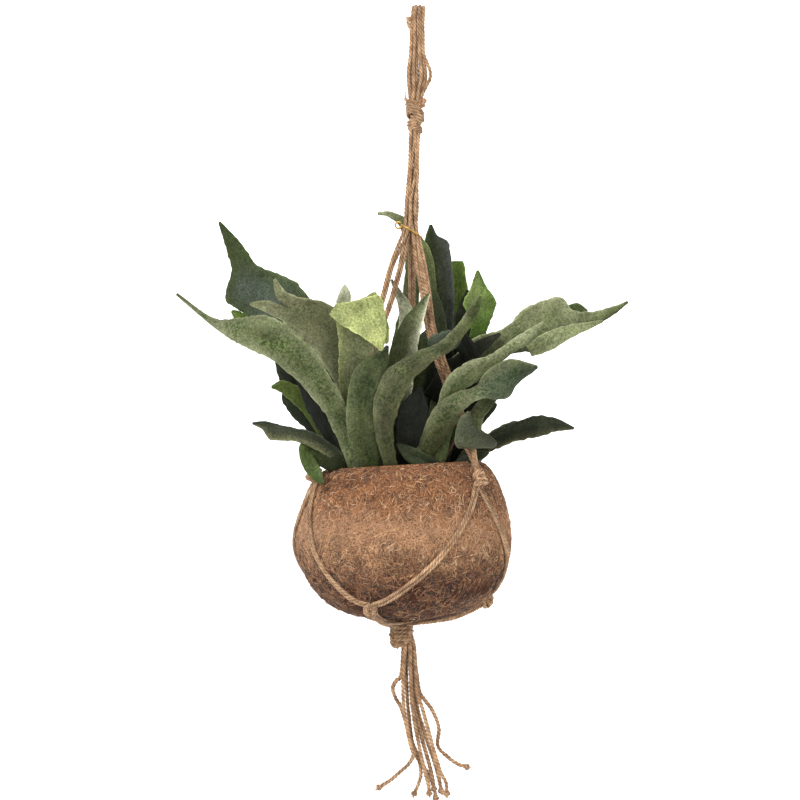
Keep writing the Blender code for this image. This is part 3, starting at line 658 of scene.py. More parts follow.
def spline(values, steps):
    """Catmull-Rom rows through the given rows, with `steps` spans between neighbours."""
    values = np.asarray(values, dtype=float)
    before = np.concatenate([2 * values[:1] - values[1:2], values[:-1]])
    after = np.concatenate([values[1:], 2 * values[-1:] - values[-2:-1]])
    slopes = (after - before) / 2.0
    t = (np.arange(steps) / steps)[None, :, None]
    start, end = values[:-1, None], values[1:, None]
    rows = start * (2 * t**3 - 3 * t**2 + 1) + end * (3 * t**2 - 2 * t**3)
    rows = rows + slopes[:-1, None] * (t**3 - 2 * t**2 + t) + slopes[1:, None] * (t**3 - t**2)
    return np.vstack([rows.reshape(-1, values.shape[1]), values[-1:]])


def even_path(points, spacing, smooth=True):
    """The line through the points, as rows a nearly fixed distance apart."""
    dense = spline(points, 12) if smooth else np.asarray(points, dtype=float)
    length = travelled(dense[:, :3])
    marks = np.linspace(0.0, length[-1], max(2, int(math.ceil(length[-1] / spacing)) + 1))
    return np.stack([np.interp(marks, length, dense[:, k]) for k in range(dense.shape[1])], axis=1)


def ripple(points, size, seed):
    """Smooth unevenness near -1 to 1: a mean of sine waves about `size` long, in seeded directions."""
    rng = np.random.default_rng(seed)
    waves = unit(rng.normal(size=(14, 3))) * (2 * math.pi / size) * rng.uniform(0.6, 1.5, (14, 1))
    return np.sin(points @ waves.T + rng.uniform(0, 2 * math.pi, 14)).sum(axis=-1) / math.sqrt(14)


def grid_faces(rows, columns, wrap):
    """Quads of a grid whose points run row by row, joined round at its sides if `wrap` is set."""
    i = np.arange(rows - 1)[:, None] * columns
    j = np.arange(columns if wrap else columns - 1)[None, :]
    k = (j + 1) % columns
    return np.stack([i + j, i + k, i + columns + k, i + columns + j], axis=-1).reshape(-1, 4)


def capped(points, around, ends):
    """Rings of points as a closed tube: quads between the rings and a fan on each end's point."""
    count, j = len(points), np.arange(around)
    k, last = (j + 1) % around, count - around
    head = np.stack([np.full(around, count), k, j], axis=1)
    tail = np.stack([np.full(around, count + 1), last + j, last + k], axis=1)
    faces = [grid_faces(count // around, around, True), np.vstack([head, tail])]
    return np.vstack([points, ends]), faces


def joined(parts):
    """Several (points, faces, tints) as one."""
    points, faces, tints, start = [], [], [], 0
    for p, f, c in parts:
        points.append(p)
        faces += [group + start for group in f]
        tints.append(c)
        start += len(p)
    return np.vstack(points), faces, np.vstack(tints)


def put_mesh(name, part, look, stands_for=(), uv=None, speckle=None):
    """Makes the piece from (points in mm from the pot's mouth, face arrays, tints) and fits it
    to the frame."""
    points, faces, tints = part
    corners = np.concatenate([f.ravel() for f in faces]).astype(np.int32)
    sizes = np.concatenate([np.full(len(f), f.shape[1]) for f in faces])
    starts = np.concatenate([[0], np.cumsum(sizes)[:-1]]).astype(np.int32)
    data = bpy.data.meshes.new(name)
    data.vertices.add(len(points))
    data.vertices.foreach_set("co", ((points - HOOK) * MM).astype(np.float32).ravel())
    data.loops.add(len(corners))
    data.loops.foreach_set("vertex_index", corners)
    data.polygons.add(len(sizes))
    data.polygons.foreach_set("loop_start", starts)
    data.update(calc_edges=True)
    data.validate()
    data.shade_smooth()
    colour = data.attributes.new("tint", "FLOAT_COLOR", "POINT")
    rgba = np.ones((len(points), 4), np.float32)
    rgba[:, :3] = np.clip(tints, 0.0, 1.0)
    colour.data.foreach_set("color", rgba.ravel())
    if speckle is not None:
        dots = data.attributes.new("speckle", "FLOAT", "POINT")
        dots.data.foreach_set("value", speckle.astype(np.float32))
    if uv is not None:
        layer = data.uv_layers.new(name="Blade")
        layer.data.foreach_set("uv", uv[corners].astype(np.float32).ravel())
    data.materials.append(look)
    placed = bpy.data.objects.new(name, data)
    bpy.context.scene.collection.objects.link(placed)
    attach(placed, "root")
    if stands_for:
        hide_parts(*stands_for)
    return placed


# ---------------------------------------------------------------- strands and hairs


def carried_frame(path):
    """Along, side and up at each row of a path: each side is the last one, made square to the path again."""
    along = unit(np.gradient(path, axis=0))
    sides = np.empty_like(path)
    side = np.cross(along[0], (0.31, 0.2, 0.93) if abs(along[0][2]) < 0.9 else (0.9, 0.42, 0.1))
    for i, forward in enumerate(along):
        side = side - forward * side.dot(forward)
        side = side / math.sqrt(side.dot(side))
        sides[i] = side
    return along, sides, np.cross(along, sides)


def rings(side, up, around):
    """Unit circles round a path, square to it."""
    turn = 2 * math.pi * np.arange(around) / around
    return side[:, None] * np.cos(turn)[None, :, None] + up[:, None] * np.sin(turn)[None, :, None]


def travelled(path):
    """How far along the path each row lies."""
    return np.concatenate([[0.0], np.cumsum(np.linalg.norm(np.diff(path, axis=0), axis=1))])


def strand_radius():
    """Half the width of a hanger's strand, in millimetres."""
    return bpy.context.scene.fern_hanger.strand_width * 500.0


def twisted(path, radius, seed=0, around=12):
    """A jute strand: its section is three round plies, r = 0.45 cos a + sqrt(0.55^2 - 0.45^2 sin^2 a)
    of the radius at an angle a from the nearest ply, and it turns once for each lay length."""
    hanger = bpy.context.scene.fern_hanger
    _, side, up = carried_frame(path)
    length = travelled(path)
    turn = 2 * math.pi * np.arange(around) / around
    turned_by = 2 * math.pi * length[:, None] / (hanger.lay_length * 1000.0)
    share = (turn[None] + turned_by) * 3 / (2 * math.pi)
    ply = np.floor(share + seed)
    off = (share + seed - ply - 0.5) * 2 * math.pi / 3
    lobe = 0.45 * np.cos(off) + np.sqrt(0.3025 - (0.45 * np.sin(off)) ** 2)
    swell = 1.0 + 0.07 * ripple(path, 23.0, seed) + 0.04 * ripple(path, 5.0, seed + 1)
    reach = radius * lobe * swell[:, None]
    points = (path[:, None] + rings(side, up, around) * reach[..., None]).reshape(-1, 3)
    # Colour: the grooves between the plies take the groove tint, which is painted shade, and the raised
    # crests go pale, partly worn fibre and partly painted highlight.
    crest = np.clip((lobe - 0.66) / 0.3, 0.0, 1.0).reshape(-1)
    worn = 0.5 + 0.5 * ripple(points, 9.0, seed + 2)
    fine = 0.5 + 0.5 * ripple(points, 1.7, seed + 3)
    colours = (hanger.groove_shade_colour, hanger.jute_colour, hanger.crest_colour)
    dark, mid, pale = (np.array(c[:3]) for c in colours)
    mix = np.clip(crest * 0.95 + 0.25 * (fine - 0.5), 0.0, 1.0)[:, None]
    tints = dark * (1 - mix) + (mid + (pale - mid) * np.clip(worn, 0, 1)[:, None]) * mix
    tints = tints * (1.0 + 0.16 * ripple(points, 60.0, seed + 4))[:, None]
    tints = np.vstack([tints, np.tile(dark * 1.3, (2, 1))])
    return (*capped(points, around, path[[0, -1]]), tints)


def fibres(roots, headings, normals, lengths, radii, bends, lifts, tints, segments=4):
    """Loose fibres: each runs from its root as root + heading L t + side bend L t^2
    + normal lift sin(pi t), a three-sided thread that narrows to its tip."""
    t = np.linspace(0.0, 1.0, segments + 1)[None, :, None]
    side = np.cross(normals, headings)
    size = lengths[:, None, None]
    line = roots[:, None] + headings[:, None] * size * t + side[:, None] * bends[:, None, None] * size * t**2
    line = line + normals[:, None] * lifts[:, None, None] * np.sin(math.pi * t)
    return threads(line, normals, radii, tints)


def threads(line, normals, radii, tints):
    """Three-sided threads along (count, rows, 3) lines, square to each line's own direction."""
    count, rows = line.shape[:2]
    along = unit(np.gradient(line, axis=1))
    side = unit(np.cross(along, normals[:, None] if normals.ndim == 2 else normals))
    up = np.cross(side, along)
    thin = radii[:, None] * np.linspace(1.0, 0.55, rows)[None]
    corner = 2 * math.pi * np.arange(3) / 3
    ring = side[:, :, None] * np.cos(corner)[:, None] + up[:, :, None] * np.sin(corner)[:, None]
    points = (line[:, :, None] + ring * thin[..., None, None]).reshape(-1, 3)
    one = grid_faces(rows, 3, True)[:, ::-1]
    step = np.arange(count)[:, None, None] * rows * 3
    ends = np.array([[0, 1, 2], [rows * 3 - 1, rows * 3 - 2, rows * 3 - 3]])
    faces = [(one[None] + step).reshape(-1, 4), (ends[None] + step).reshape(-1, 3)]
    return points, faces, np.repeat(tints, rows * 3, axis=0)


def hairs(path, radius, per_mm, seed, longest=5.0):
    """Stray hairs that stand off a strand in seeded directions."""
    hanger = bpy.context.scene.fern_hanger
    rng = np.random.default_rng(seed)
    length = np.linalg.norm(np.diff(path, axis=0), axis=1).sum()
    count = max(3, int(length * per_mm * hanger.hairiness))
    along, side, up = carried_frame(path)
    at = rng.integers(0, len(path), count)
    angle = rng.uniform(0, 2 * math.pi, count)
    out = side[at] * np.cos(angle)[:, None] + up[at] * np.sin(angle)[:, None]
    forward = along[at] * rng.choice([-1.0, 1.0], count)[:, None]
    heading = unit(forward + out * rng.uniform(0.1, 1.1, count)[:, None])
    pale = np.array(hanger.crest_colour[:3])
    mid = np.array(hanger.jute_colour[:3])
    tints = mid + (pale - mid) * rng.uniform(0.2, 1.3, count)[:, None]
    roots = path[at] + out * radius * 0.8
    normal = unit(np.cross(heading, np.cross(out, heading) + 1e-6))
    lengths, radii = rng.uniform(1.5, longest, count), rng.uniform(0.07, 0.14, count)
    bends, lifts = rng.uniform(-0.5, 0.5, count), rng.uniform(0, 0.4, count)
    return fibres(roots, heading, normal, lengths, radii, bends, lifts, tints, 3)


def band(centre, axis, wide, deep, tilt, twist, radius, seed, turns=1.03, rise=0.0):
    """A strand laid round an axis: an ellipse `wide` by `deep`, tilted so that it climbs by
    tilt cos(a - twist)."""
    axis = unit(axis)
    east = unit(np.cross(axis, (0.0, -1.0, 0.02)))
    north = np.cross(axis, east)
    count = max(24, int(2 * math.pi * max(wide, deep) * turns / 0.7))
    a = np.linspace(0.0, 2 * math.pi * turns, count)
    path = centre + east * (wide * np.cos(a))[:, None] + north * (deep * np.sin(a))[:, None]
    path = path + axis * (tilt * np.cos(a - twist) + rise * a / (2 * math.pi))[:, None]
    return twisted(path, radius, seed)


def pretzel(centre, axis, size, depth, radius, seed, spin=0.0):
    """A strand tied in an overhand knot: (sin t + 2 sin 2t, cos t - 2 cos 2t, -sin 3t),
    flattened by `depth`."""
    axis = unit(axis)
    east = unit(np.cross(axis, (0.0, -1.0, 0.02)))
    north = np.cross(east, axis)
    t = np.linspace(0.0, 2 * math.pi * 1.01, 150) + spin
    x, z = (np.sin(t) + 2 * np.sin(2 * t)) * size / 3, (np.cos(t) - 2 * np.cos(2 * t)) * size / 3
    y = -np.sin(3 * t) * depth
    path = centre + east * x[:, None] + axis * z[:, None] + north * y[:, None]
    return twisted(even_path(path, 0.7, False), radius, seed)


# ---------------------------------------------------------------- the pot's surface


def pot_point(azimuth, r, z):
    """Points of the hand-felted ball: its radius grows by a few slow waves of azimuth and height,
    and its mouth stands a little higher at the right and the front."""
    wobble = (
        1.2 * np.sin(2 * azimuth + 0.6)
        + 0.9 * np.sin(3 * azimuth - 1.1 + z * 0.03)
        + 0.5 * np.sin(5 * azimuth + z * 0.05)
    )
    reach = r + wobble * np.minimum(1.0, r / 60.0)
    lift = (4.0 * np.sin(azimuth) + 2.0 * np.cos(azimuth)) * np.clip(1.0 + z / 70.0, 0.0, 1.0)
    return np.stack([reach * np.sin(azimuth), -reach * np.cos(azimuth), z + lift], axis=-1)


POT_LINE = even_path(POT_OUTER, 0.8)
POT_DEPTH = travelled(POT_LINE)


def on_ball(azimuth, depth):
    """Points and outward directions on the ball, by azimuth in radians and millimetres down its
    side from the mouth."""
    places = []
    for a, s in ((azimuth, depth), (azimuth, depth + 0.5), (azimuth + 0.01, depth)):
        r = np.interp(s, POT_DEPTH, POT_LINE[:, 0])
        z = np.interp(s, POT_DEPTH, POT_LINE[:, 1])
        places.append(pot_point(a, r, z))
    down, round_it = places[1] - places[0], places[2] - places[0]
    return places[0], unit(np.cross(down, round_it))


def ball_place(azimuth, z, away):
    """Points `away` outside the ball at azimuths in degrees and heights under the mouth."""
    depth = np.interp(-np.asarray(z, dtype=float), -POT_LINE[:, 1], POT_DEPTH)
    place, out = on_ball(np.radians(np.asarray(azimuth, dtype=float)), depth)
    return place + out * np.asarray(away, dtype=float)[..., None]


def turned(profile, steps, roughen):
    """A closed (r, z) profile turned round the pot's axis, its two ends at r = 0 closed to points.
    `roughen` gives each point its share of outward unevenness."""
    inner = profile[1:-1]
    azimuth = 2 * math.pi * np.arange(steps) / steps
    grid = pot_point(azimuth[None], inner[:, :1], inner[:, 1:])
    grid = grid + roughen(grid, azimuth, inner)
    ends = np.array([(0.0, 0.0, profile[0][1]), (0.0, 0.0, profile[-1][1])])
    return capped(grid.reshape(-1, 3), steps, ends)


def coir_zones(points):
    """Tints of the felt by height: reddish strokes above; a lighter beige belt round the widest part, a
    painted highlight on smoother felt; and darker felt below, partly dark curly fibres and partly painted
    shade of the underside.
    """
    pot = bpy.context.scene.fern_pot
    top, belt, low = (np.array(c[:3]) for c in (pot.upper_colour, pot.belt_highlight_colour, pot.lower_felt_shade_colour))
    z = points[:, 2:3] + 7.0 * ripple(points, 60.0, 21)[:, None]
    to_belt = np.clip((-34.0 - z) / 22.0, 0.0, 1.0)
    to_low = np.clip((-78.0 - z) / 26.0, 0.0, 1.0)
    tints = top + (belt - top) * to_belt
    return tints + (low - tints) * to_low


# ---------------------------------------------------------------- fronds


def edge_rows(spine, start=None):
    """The two edges and the face direction at each row of a spine, turned by its roll."""
    centres = np.array([row[:3] for row in spine], dtype=float)
    path = centres if start is None else np.vstack([start, centres])
    ahead = np.vstack([path[1:], path[-1:]])
    behind = np.vstack([path[:1], path[:-1]])
    along = unit(ahead - behind)[0 if start is None else 1 :]
    side = unit(np.cross(along, (0.0, -1.0, 0.0)))
    roll = np.radians([row[-1] for row in spine])[:, None]
    across = side * np.cos(roll) + np.cross(side, along) * np.sin(roll)
    first = centres - across * np.array([row[3] for row in spine])[:, None]
    second = centres + across * np.array([row[-2] for row in spine])[:, None]
    return np.hstack([first, second, unit(np.cross(across, along))])


def frond_grid(rows, cup, columns, waves, seed):
    """A blade between two edges: bowed by `cup` of its half width as 4 v (1 - v), its midrib set in,
    its margins rolled back and rippled, and its outline nibbled by half a millimetre."""
    v = np.linspace(0.0, 1.0, columns + 1)[None, :, None]
    first, second, front = rows[:, None, :3], rows[:, None, 3:6], rows[:, None, 6:9]
    across = second - first
    half = np.linalg.norm(across, axis=2, keepdims=True) / 2.0
    edge = np.abs(2 * v - 1)
    points = first * (1 - v) + second * v
    share = np.linspace(0.0, 1.0, len(rows))[:, None]
    wave = ripple(points, 26.0, seed) * waves + ripple(points, 9.0, seed + 1) * waves * 0.35
    rim = np.clip(half[..., 0] / 8.0, 0.15, 1.0)
    bow = cup * half[..., 0] * 4 * v[..., 0] * (1 - v[..., 0])
    rib = 0.7 * np.exp(-(((v[..., 0] - 0.5) / 0.05) ** 2)) * (1 - share) * rim
    rolled = 0.9 * edge[..., 0] ** 10 * rim
    dents = ripple(points, 14.0, seed + 2) * 0.35 * rim
    depth = bow + rolled + rib - wave * edge[..., 0] ** 1.5 * rim - dents
    outward = np.sign(2 * v[..., 0] - 1) * rim
    nibble = ripple(points, 7.0, seed + 3) * 0.45 * edge[..., 0] ** 6 * outward
    return points - front * depth[..., None] + unit(across) * nibble[..., None]


def frond_colours(look, share, v, points, seed):
    """Tints along the blade from its list, then each margin's own tint, a pale rim that is partly felted
    hairs and partly a painted highlight, and slow blotches."""
    stops = hues(*look["tints"]) * BLADE_TONE
    at = share * (len(stops) - 1)
    tints = np.stack([np.interp(at, np.arange(len(stops)), stops[:, k]) for k in range(3)], axis=-1)
    grown = np.clip(share * 4.0, 0.0, 1.0)
    # Each margin's own tint: painted highlight on a lit edge and painted shade on a shaded one, as well as
    # the margin's own paler felt.
    sides = {"first": np.clip(1 - v / 0.5, 0, 1), "second": np.clip(v / 0.5 - 1, 0, 1)}
    for key, weight in sides.items():
        if key in look:
            weight = (weight**1.2 * grown * 0.9)[..., None]
            tints = tints * (1 - weight) + hues(look[key])[0] * BLADE_TONE * weight
    # Pale rim on both margins: partly the denser felt of the rolled edge, partly a painted highlight.
    rim = (np.abs(2 * v - 1) ** 16)[..., None]
    tints = tints * (1 + 0.9 * rim)
    blotch = 1 + 0.13 * ripple(points, 24.0, seed) + 0.08 * ripple(points, 7.0, seed + 5)
    return tints * blotch[..., None]


def frond_part(frond, look, seed):
    """One frond as (points, faces, tints), its blade coordinates in centimetres, and how bare
    it is: 1.2 - |2 v - 1|^2."""
    fern = bpy.context.scene.fern_fronds
    lobes = frond.get("lobes", [])
    columns = fern.columns * max(1, len(lobes))
    main = spline(edge_rows(frond["spine"]), fern.rows)
    strips = [(columns, 0.0, 1.0)]
    waves = look["ripple"] * fern.ripple
    grids = [frond_grid(main, frond.get("cup", 0.0), columns, waves, seed)]
    total = len(main)
    tall = total + (2 * fern.rows if lobes else 0)
    share = columns // max(1, len(lobes))
    for k, lobe in enumerate(lobes):
        row = main[-1]
        first = row[:3] + (row[3:6] - row[:3]) * k / len(lobes)
        second = row[:3] + (row[3:6] - row[:3]) * (k + 1) / len(lobes)
        head = np.concatenate([first, second, row[6:9]])
        rows = spline(np.vstack([head, edge_rows(lobe, (first + second) / 2.0)]), fern.rows)
        grid = frond_grid(rows, frond.get("cup", 0.0), share, waves, seed)
        fade = np.clip(np.arange(len(rows)) / 6.0, 0, 1)[:, None, None]
        seam = grids[0][-1, k * share : (k + 1) * share + 1]
        grids.append((grid + (seam - grid[0])[None] * (1 - fade))[1:])
        strips.append((share, k / len(lobes), (k + 1) / len(lobes)))
    points, faces, tints, uvs, bare, start = [], [], [], [], [], 0
    for n, (grid, (wide, low, high)) in enumerate(zip(grids, strips)):
        v = np.linspace(low, high, wide + 1)[None].repeat(len(grid), axis=0)
        begin = 0 if n == 0 else total
        along = (begin + np.arange(len(grid)))[:, None].repeat(wide + 1, axis=1) / max(1, tall - 1)
        tints.append(frond_colours(look, np.clip(along, 0, 1), v, grid, seed).reshape(-1, 3))
        gap = np.linalg.norm(grid[0, 0] - grid[-1, 0]) / 10.0
        width = np.linalg.norm(grid[:, -1] - grid[:, 0], axis=1)[:, None] / 10.0
        uvs.append(np.stack([(v - 0.5) * np.maximum(width, 1.2), along * gap], axis=-1).reshape(-1, 2))
        bare.append(1.2 - np.abs(2 * v - 1).reshape(-1) ** 2)
        ids = start + np.arange(len(grid) * (wide + 1)).reshape(len(grid), wide + 1)
        if n > 0:
            above = total - 1
            seam_ids = above * (columns + 1) + (n - 1) * share + np.arange(share + 1)
            ids = np.vstack([seam_ids[None], ids])
        quads = np.stack([ids[:-1, :-1], ids[:-1, 1:], ids[1:, 1:], ids[1:, :-1]], axis=-1)
        faces.append(quads.reshape(-1, 4))
        points.append(grid.reshape(-1, 3))
        start += grid.shape[0] * grid.shape[1]
    return (np.vstack(points), faces, np.vstack(tints)), np.vstack(uvs), np.concatenate(bare)


def thicken(placed, thickness):
    """Gives a blade its wall."""
    wall = placed.modifiers.new("blade", "SOLIDIFY")
    wall.thickness = thickness
    wall.offset = 0.0
    wall.use_even_offset = False


# ---------------------------------------------------------------- materials


def node(tree, kind, inputs=(), **settings):
    """Adds a shader node, with its settings, and its inputs linked or set."""
    made = tree.nodes.new("ShaderNode" + kind)
    for key, value in settings.items():
        setattr(made, key, value)
    for key, value in dict(inputs).items():
        if isinstance(value, bpy.types.NodeSocket):
            tree.links.new(value, made.inputs[key])
        else:
            made.inputs[key].default_value = value
    return made


def finish_of(name):
    """A new material, its tree, and the object's own coordinates in it."""
    made = bpy.data.materials.new(name)
    made.use_nodes = True
    tree = made.node_tree
    return made, tree, node(tree, "TexCoord").outputs["Object"]


def dress(made, colour, plain, relief=None, strength=1.0, depth=0.001):
    """Gives the surface its colour, its plain values and, where it has relief, its bump."""
    tree = made.node_tree
    shader = tree.nodes["Principled BSDF"]
    tree.links.new(colour, shader.inputs["Base Color"])
    if relief is not None:
        bump = node(tree, "Bump", {"Height": relief, "Strength": strength, "Distance": depth})
        tree.links.new(bump.outputs["Normal"], shader.inputs["Normal"])
    for key, value in plain.items():
        shader.inputs[key].default_value = value
    return made


def per_metre(size_mm):
    """The scale of a pattern on Object coordinates whose features are that many millimetres."""
    return 1.0 / (size_mm * MM)


def felted_frond():
    """Living frond: tough green blade under star-shaped white hairs.  The hairs give a soft
    greyish bloom with speckles of bare green, faint forked veins and almost no shine."""
    made, tree, place = finish_of("felted_frond")
    tint = node(tree, "Attribute", attribute_name="tint").outputs["Color"]
    dots = node(tree, "Attribute", attribute_name="speckle").outputs["Fac"]
    blade = node(tree, "UVMap", uv_map="Blade").outputs["UV"]
    # Bare specks about a millimetre and a half across.
    grain = {"Vector": place, "Scale": per_metre(3.0), "Detail": 4.0, "Roughness": 0.75}
    speck = node(tree, "TexNoise", grain).outputs["Fac"]
    bare = node(tree, "MapRange", {"Value": speck, "From Min": 0.46, "From Max": 0.58})
    worn = node(tree, "TexNoise", {"Vector": place, "Scale": per_metre(26.0), "Detail": 2.0})
    where = {"Value": worn.outputs["Fac"], "From Min": 0.34, "From Max": 0.56}
    where = node(tree, "MapRange", where).outputs["Result"]
    amount = node(tree, "Math", {0: bare.outputs["Result"], 1: where}, operation="MULTIPLY")
    amount = node(tree, "Math", {0: amount.outputs[0], 1: dots}, operation="MULTIPLY")
    green = {"Factor": 1.0, "A": tint, "B": BARE_GREEN}
    green = node(tree, "Mix", green, data_type="RGBA", blend_type="MULTIPLY").outputs["Result"]
    mixed = node(tree, "Mix", {"Factor": amount.outputs[0], "A": tint, "B": green}, data_type="RGBA")
    # Star hairs: pale grains well under a millimetre, drawn at 1.7 mm so that they show.
    grain = {"Vector": place, "Scale": per_metre(1.7), "Detail": 3.0, "Roughness": 0.7}
    hair = node(tree, "TexNoise", grain).outputs["Fac"]
    bloom = {"Value": hair, "From Min": 0.33, "From Max": 0.67, "To Min": 0.52, "To Max": 1.5}
    bloom = node(tree, "MapRange", bloom).outputs["Result"]
    # Veins: streaks about 1.5 mm apart that run along the blade.
    stretch = node(tree, "Mapping", {"Vector": blade, "Scale": (6.5, 0.5, 1.0)}).outputs["Vector"]
    grain = {"Vector": stretch, "Scale": 1.0, "Detail": 2.0, "Roughness": 0.55}
    vein = node(tree, "TexNoise", grain).outputs["Fac"]
    streak = {"Value": vein, "From Min": 0.3, "From Max": 0.7, "To Min": 0.86, "To Max": 1.12}
    streak = node(tree, "MapRange", streak).outputs["Result"]
    both = node(tree, "Math", {0: bloom, 1: streak}, operation="MULTIPLY").outputs[0]
    shade = {0: mixed.outputs["Result"], "Scale": both}
    shade = node(tree, "VectorMath", shade, operation="SCALE").outputs["Vector"]
    relief = node(tree, "Math", {0: vein, 1: hair}, operation="ADD").outputs[0]
    return dress(made, shade, {"Roughness": 0.6, "Specular IOR Level": 0.16}, relief, 0.4, 0.0006)


def dried_shield():
    """Dead shield frond: papery brown tissue, matt, with a coarse net of veins."""
    made, tree, place = finish_of("dried_shield")
    tint = node(tree, "Attribute", attribute_name="tint").outputs["Color"]
    net = {"Vector": place, "Scale": per_metre(3.5)}
    net = node(tree, "TexVoronoi", net, feature="DISTANCE_TO_EDGE").outputs["Distance"]
    vein = node(tree, "MapRange", {"Value": net, "From Max": 0.14, "To Min": 0.6, "To Max": 1.1})
    vein = vein.outputs["Result"]
    shade = node(tree, "VectorMath", {0: tint, "Scale": vein}, operation="SCALE").outputs["Vector"]
    return dress(made, shade, {"Roughness": 0.85}, vein, 0.5, 0.0008)


def coir_felt():
    """Coconut coir needled into felt: a mat of tangled fibres with pits between them, wholly matt, with
    painted shade in its pits.
    """
    made, tree, place = finish_of("coir_felt")
    tint = node(tree, "Attribute", attribute_name="tint").outputs["Color"]
    # Tangled ridges about 1.3 mm apart, as coarse as the matted fibres look together.
    mat = {"Vector": place, "Scale": per_metre(4.0), "Detail": 5.0, "Roughness": 0.75, "Distortion": 1.6}
    mat = node(tree, "TexNoise", mat, noise_type="RIDGED_MULTIFRACTAL").outputs["Fac"]
    pits = {"Vector": place, "Scale": per_metre(1.5), "Detail": 4.0, "Roughness": 0.7}
    pits = node(tree, "TexNoise", pits).outputs["Fac"]
    # The colour is darkened between the ridges and deep in the pits by the same fields that give the bump:
    # painted shade in the hollows of the mat.
    coarse = {"Value": mat, "From Min": 0.25, "From Max": 1.0, "To Min": 0.62, "To Max": 1.2}
    coarse = node(tree, "MapRange", coarse).outputs["Result"]
    deep = {"Value": pits, "From Min": 0.36, "From Max": 0.6, "To Min": 0.2, "To Max": 1.3}
    deep = node(tree, "MapRange", deep).outputs["Result"]
    both = node(tree, "Math", {0: coarse, 1: deep}, operation="MULTIPLY").outputs[0]
    shade = node(tree, "VectorMath", {0: tint, "Scale": both}, operation="SCALE").outputs["Vector"]
    # Blue-black crumbs of husk, a few millimetres across and well apart.
    crumb = {"Vector": place, "Scale": per_metre(9.0), "Detail": 3.0, "Roughness": 0.7}
    crumb = node(tree, "TexNoise", crumb).outputs["Fac"]
    husk = node(tree, "MapRange", {"Value": crumb, "From Min": 0.66, "From Max": 0.72, "To Max": 0.75})
    husk = {"Factor": husk.outputs["Result"], "A": shade, "B": linear("#33302f")}
    colour = node(tree, "Mix", husk, data_type="RGBA").outputs["Result"]
    return dress(made, colour, {"Roughness": 0.95, "Specular IOR Level": 0.2}, both, 0.8, 0.0012)


def bare_fibre(name, rough, size_mm):
    """Plant fibre, of coir or jute: each thread has its own tint, with finer streaks and a matt
    surface that fibre ends break up."""
    made, tree, place = finish_of(name)
    tint = node(tree, "Attribute", attribute_name="tint").outputs["Color"]
    grain = {"Vector": place, "Scale": per_metre(size_mm), "Detail": 3.0, "Roughness": 0.65}
    grain = node(tree, "TexNoise", grain).outputs["Fac"]
    streak = {"Value": grain, "From Min": 0.3, "From Max": 0.7, "To Min": 0.72, "To Max": 1.25}
    streak = node(tree, "MapRange", streak).outputs["Result"]
    shade = node(tree, "VectorMath", {0: tint, "Scale": streak}, operation="SCALE").outputs["Vector"]
    plain = {"Roughness": rough, "Specular IOR Level": 0.3, "Sheen Weight": 0.15, "Sheen Roughness": 0.6}
    return dress(made, shade, plain, grain, 0.5, 0.0004)


def golden_tie():
    """Wire tie covered in golden tinsel paper: yellow metal with a crumpled, half-matt skin."""
    made, tree, place = finish_of("golden_tie")
    crease = {"Vector": place, "Scale": per_metre(1.2), "Detail": 3.0}
    crease = node(tree, "TexNoise", crease).outputs["Fac"]
    ramp = {"Factor": crease, "A": linear("#8a6428"), "B": linear("#d6ae5c")}
    ramp = node(tree, "Mix", ramp, data_type="RGBA").outputs["Result"]
    return dress(made, ramp, {"Metallic": 0.6, "Roughness": 0.42}, crease, 0.6, 0.0004)


def root_moss():
    """Moss and peat round the roots: dark crumbs with green and brown tufts, wholly matt."""
    made, tree, place = finish_of("root_moss")
    tuft = {"Vector": place, "Scale": per_metre(5.0), "Detail": 6.0, "Roughness": 0.7}
    tuft = node(tree, "TexNoise", tuft).outputs["Fac"]
    crumbs = {"Factor": tuft, "A": linear("#1b140d"), "B": linear("#57492f")}
    crumbs = node(tree, "Mix", crumbs, data_type="RGBA").outputs["Result"]
    patch = node(tree, "TexNoise", {"Vector": place, "Scale": per_metre(22.0), "Detail": 2.0})
    mossy = {"Value": patch.outputs["Fac"], "From Min": 0.5, "From Max": 0.62}
    mossy = node(tree, "MapRange", mossy).outputs["Result"]
    colour = {"Factor": mossy, "A": crumbs, "B": linear("#3c4320")}
    colour = node(tree, "Mix", colour, data_type="RGBA").outputs["Result"]
    return dress(made, colour, {"Roughness": 0.95}, tuft, 1.0, 0.003)


def studio_paper():
    """Seamless backdrop paper: white, matt, lit evenly so that its bend doesn't show."""
    made, tree, place = finish_of("studio_paper")
    pulp = node(tree, "TexNoise", {"Vector": place, "Scale": per_metre(400.0), "Detail": 2.0})
    tone = {"Factor": pulp.outputs["Fac"], "A": linear("#f4f4f3"), "B": linear("#f8f8f7")}
    tone = node(tree, "Mix", tone, data_type="RGBA").outputs["Result"]
    # The paper is seen white and lights the plant less than that, so that the soft boxes shape it.
    stage = bpy.context.scene.fern_stage
    seen = node(tree, "LightPath").outputs["Is Camera Ray"]
    glow = node(tree, "MapRange", {"Value": seen, "To Min": stage.paper_glow, "To Max": 1.0})
    shader = tree.nodes["Principled BSDF"]
    tree.links.new(glow.outputs["Result"], shader.inputs["Emission Strength"])
    return dress(made, tone, {"Roughness": 1.0, "Emission Color": WHITE})


FINISHES = {}


def look_of(name):
    """A material by its name, made the first time that it is asked for."""
    makers = {
        "felted_frond": felted_frond,
        "dried_shield": dried_shield,
        "coir_felt": coir_felt,
        "coir_fibre": lambda: bare_fibre("coir_fibre", 0.85, 1.6),
        "twisted_jute": lambda: bare_fibre("twisted_jute", 0.9, 0.8),
        "golden_tie": golden_tie,
        "root_moss": root_moss,
        "studio_paper": studio_paper,
    }
    if name not in FINISHES:
        FINISHES[name] = makers[name]()
    return FINISHES[name]


# ---------------------------------------------------------------- settings


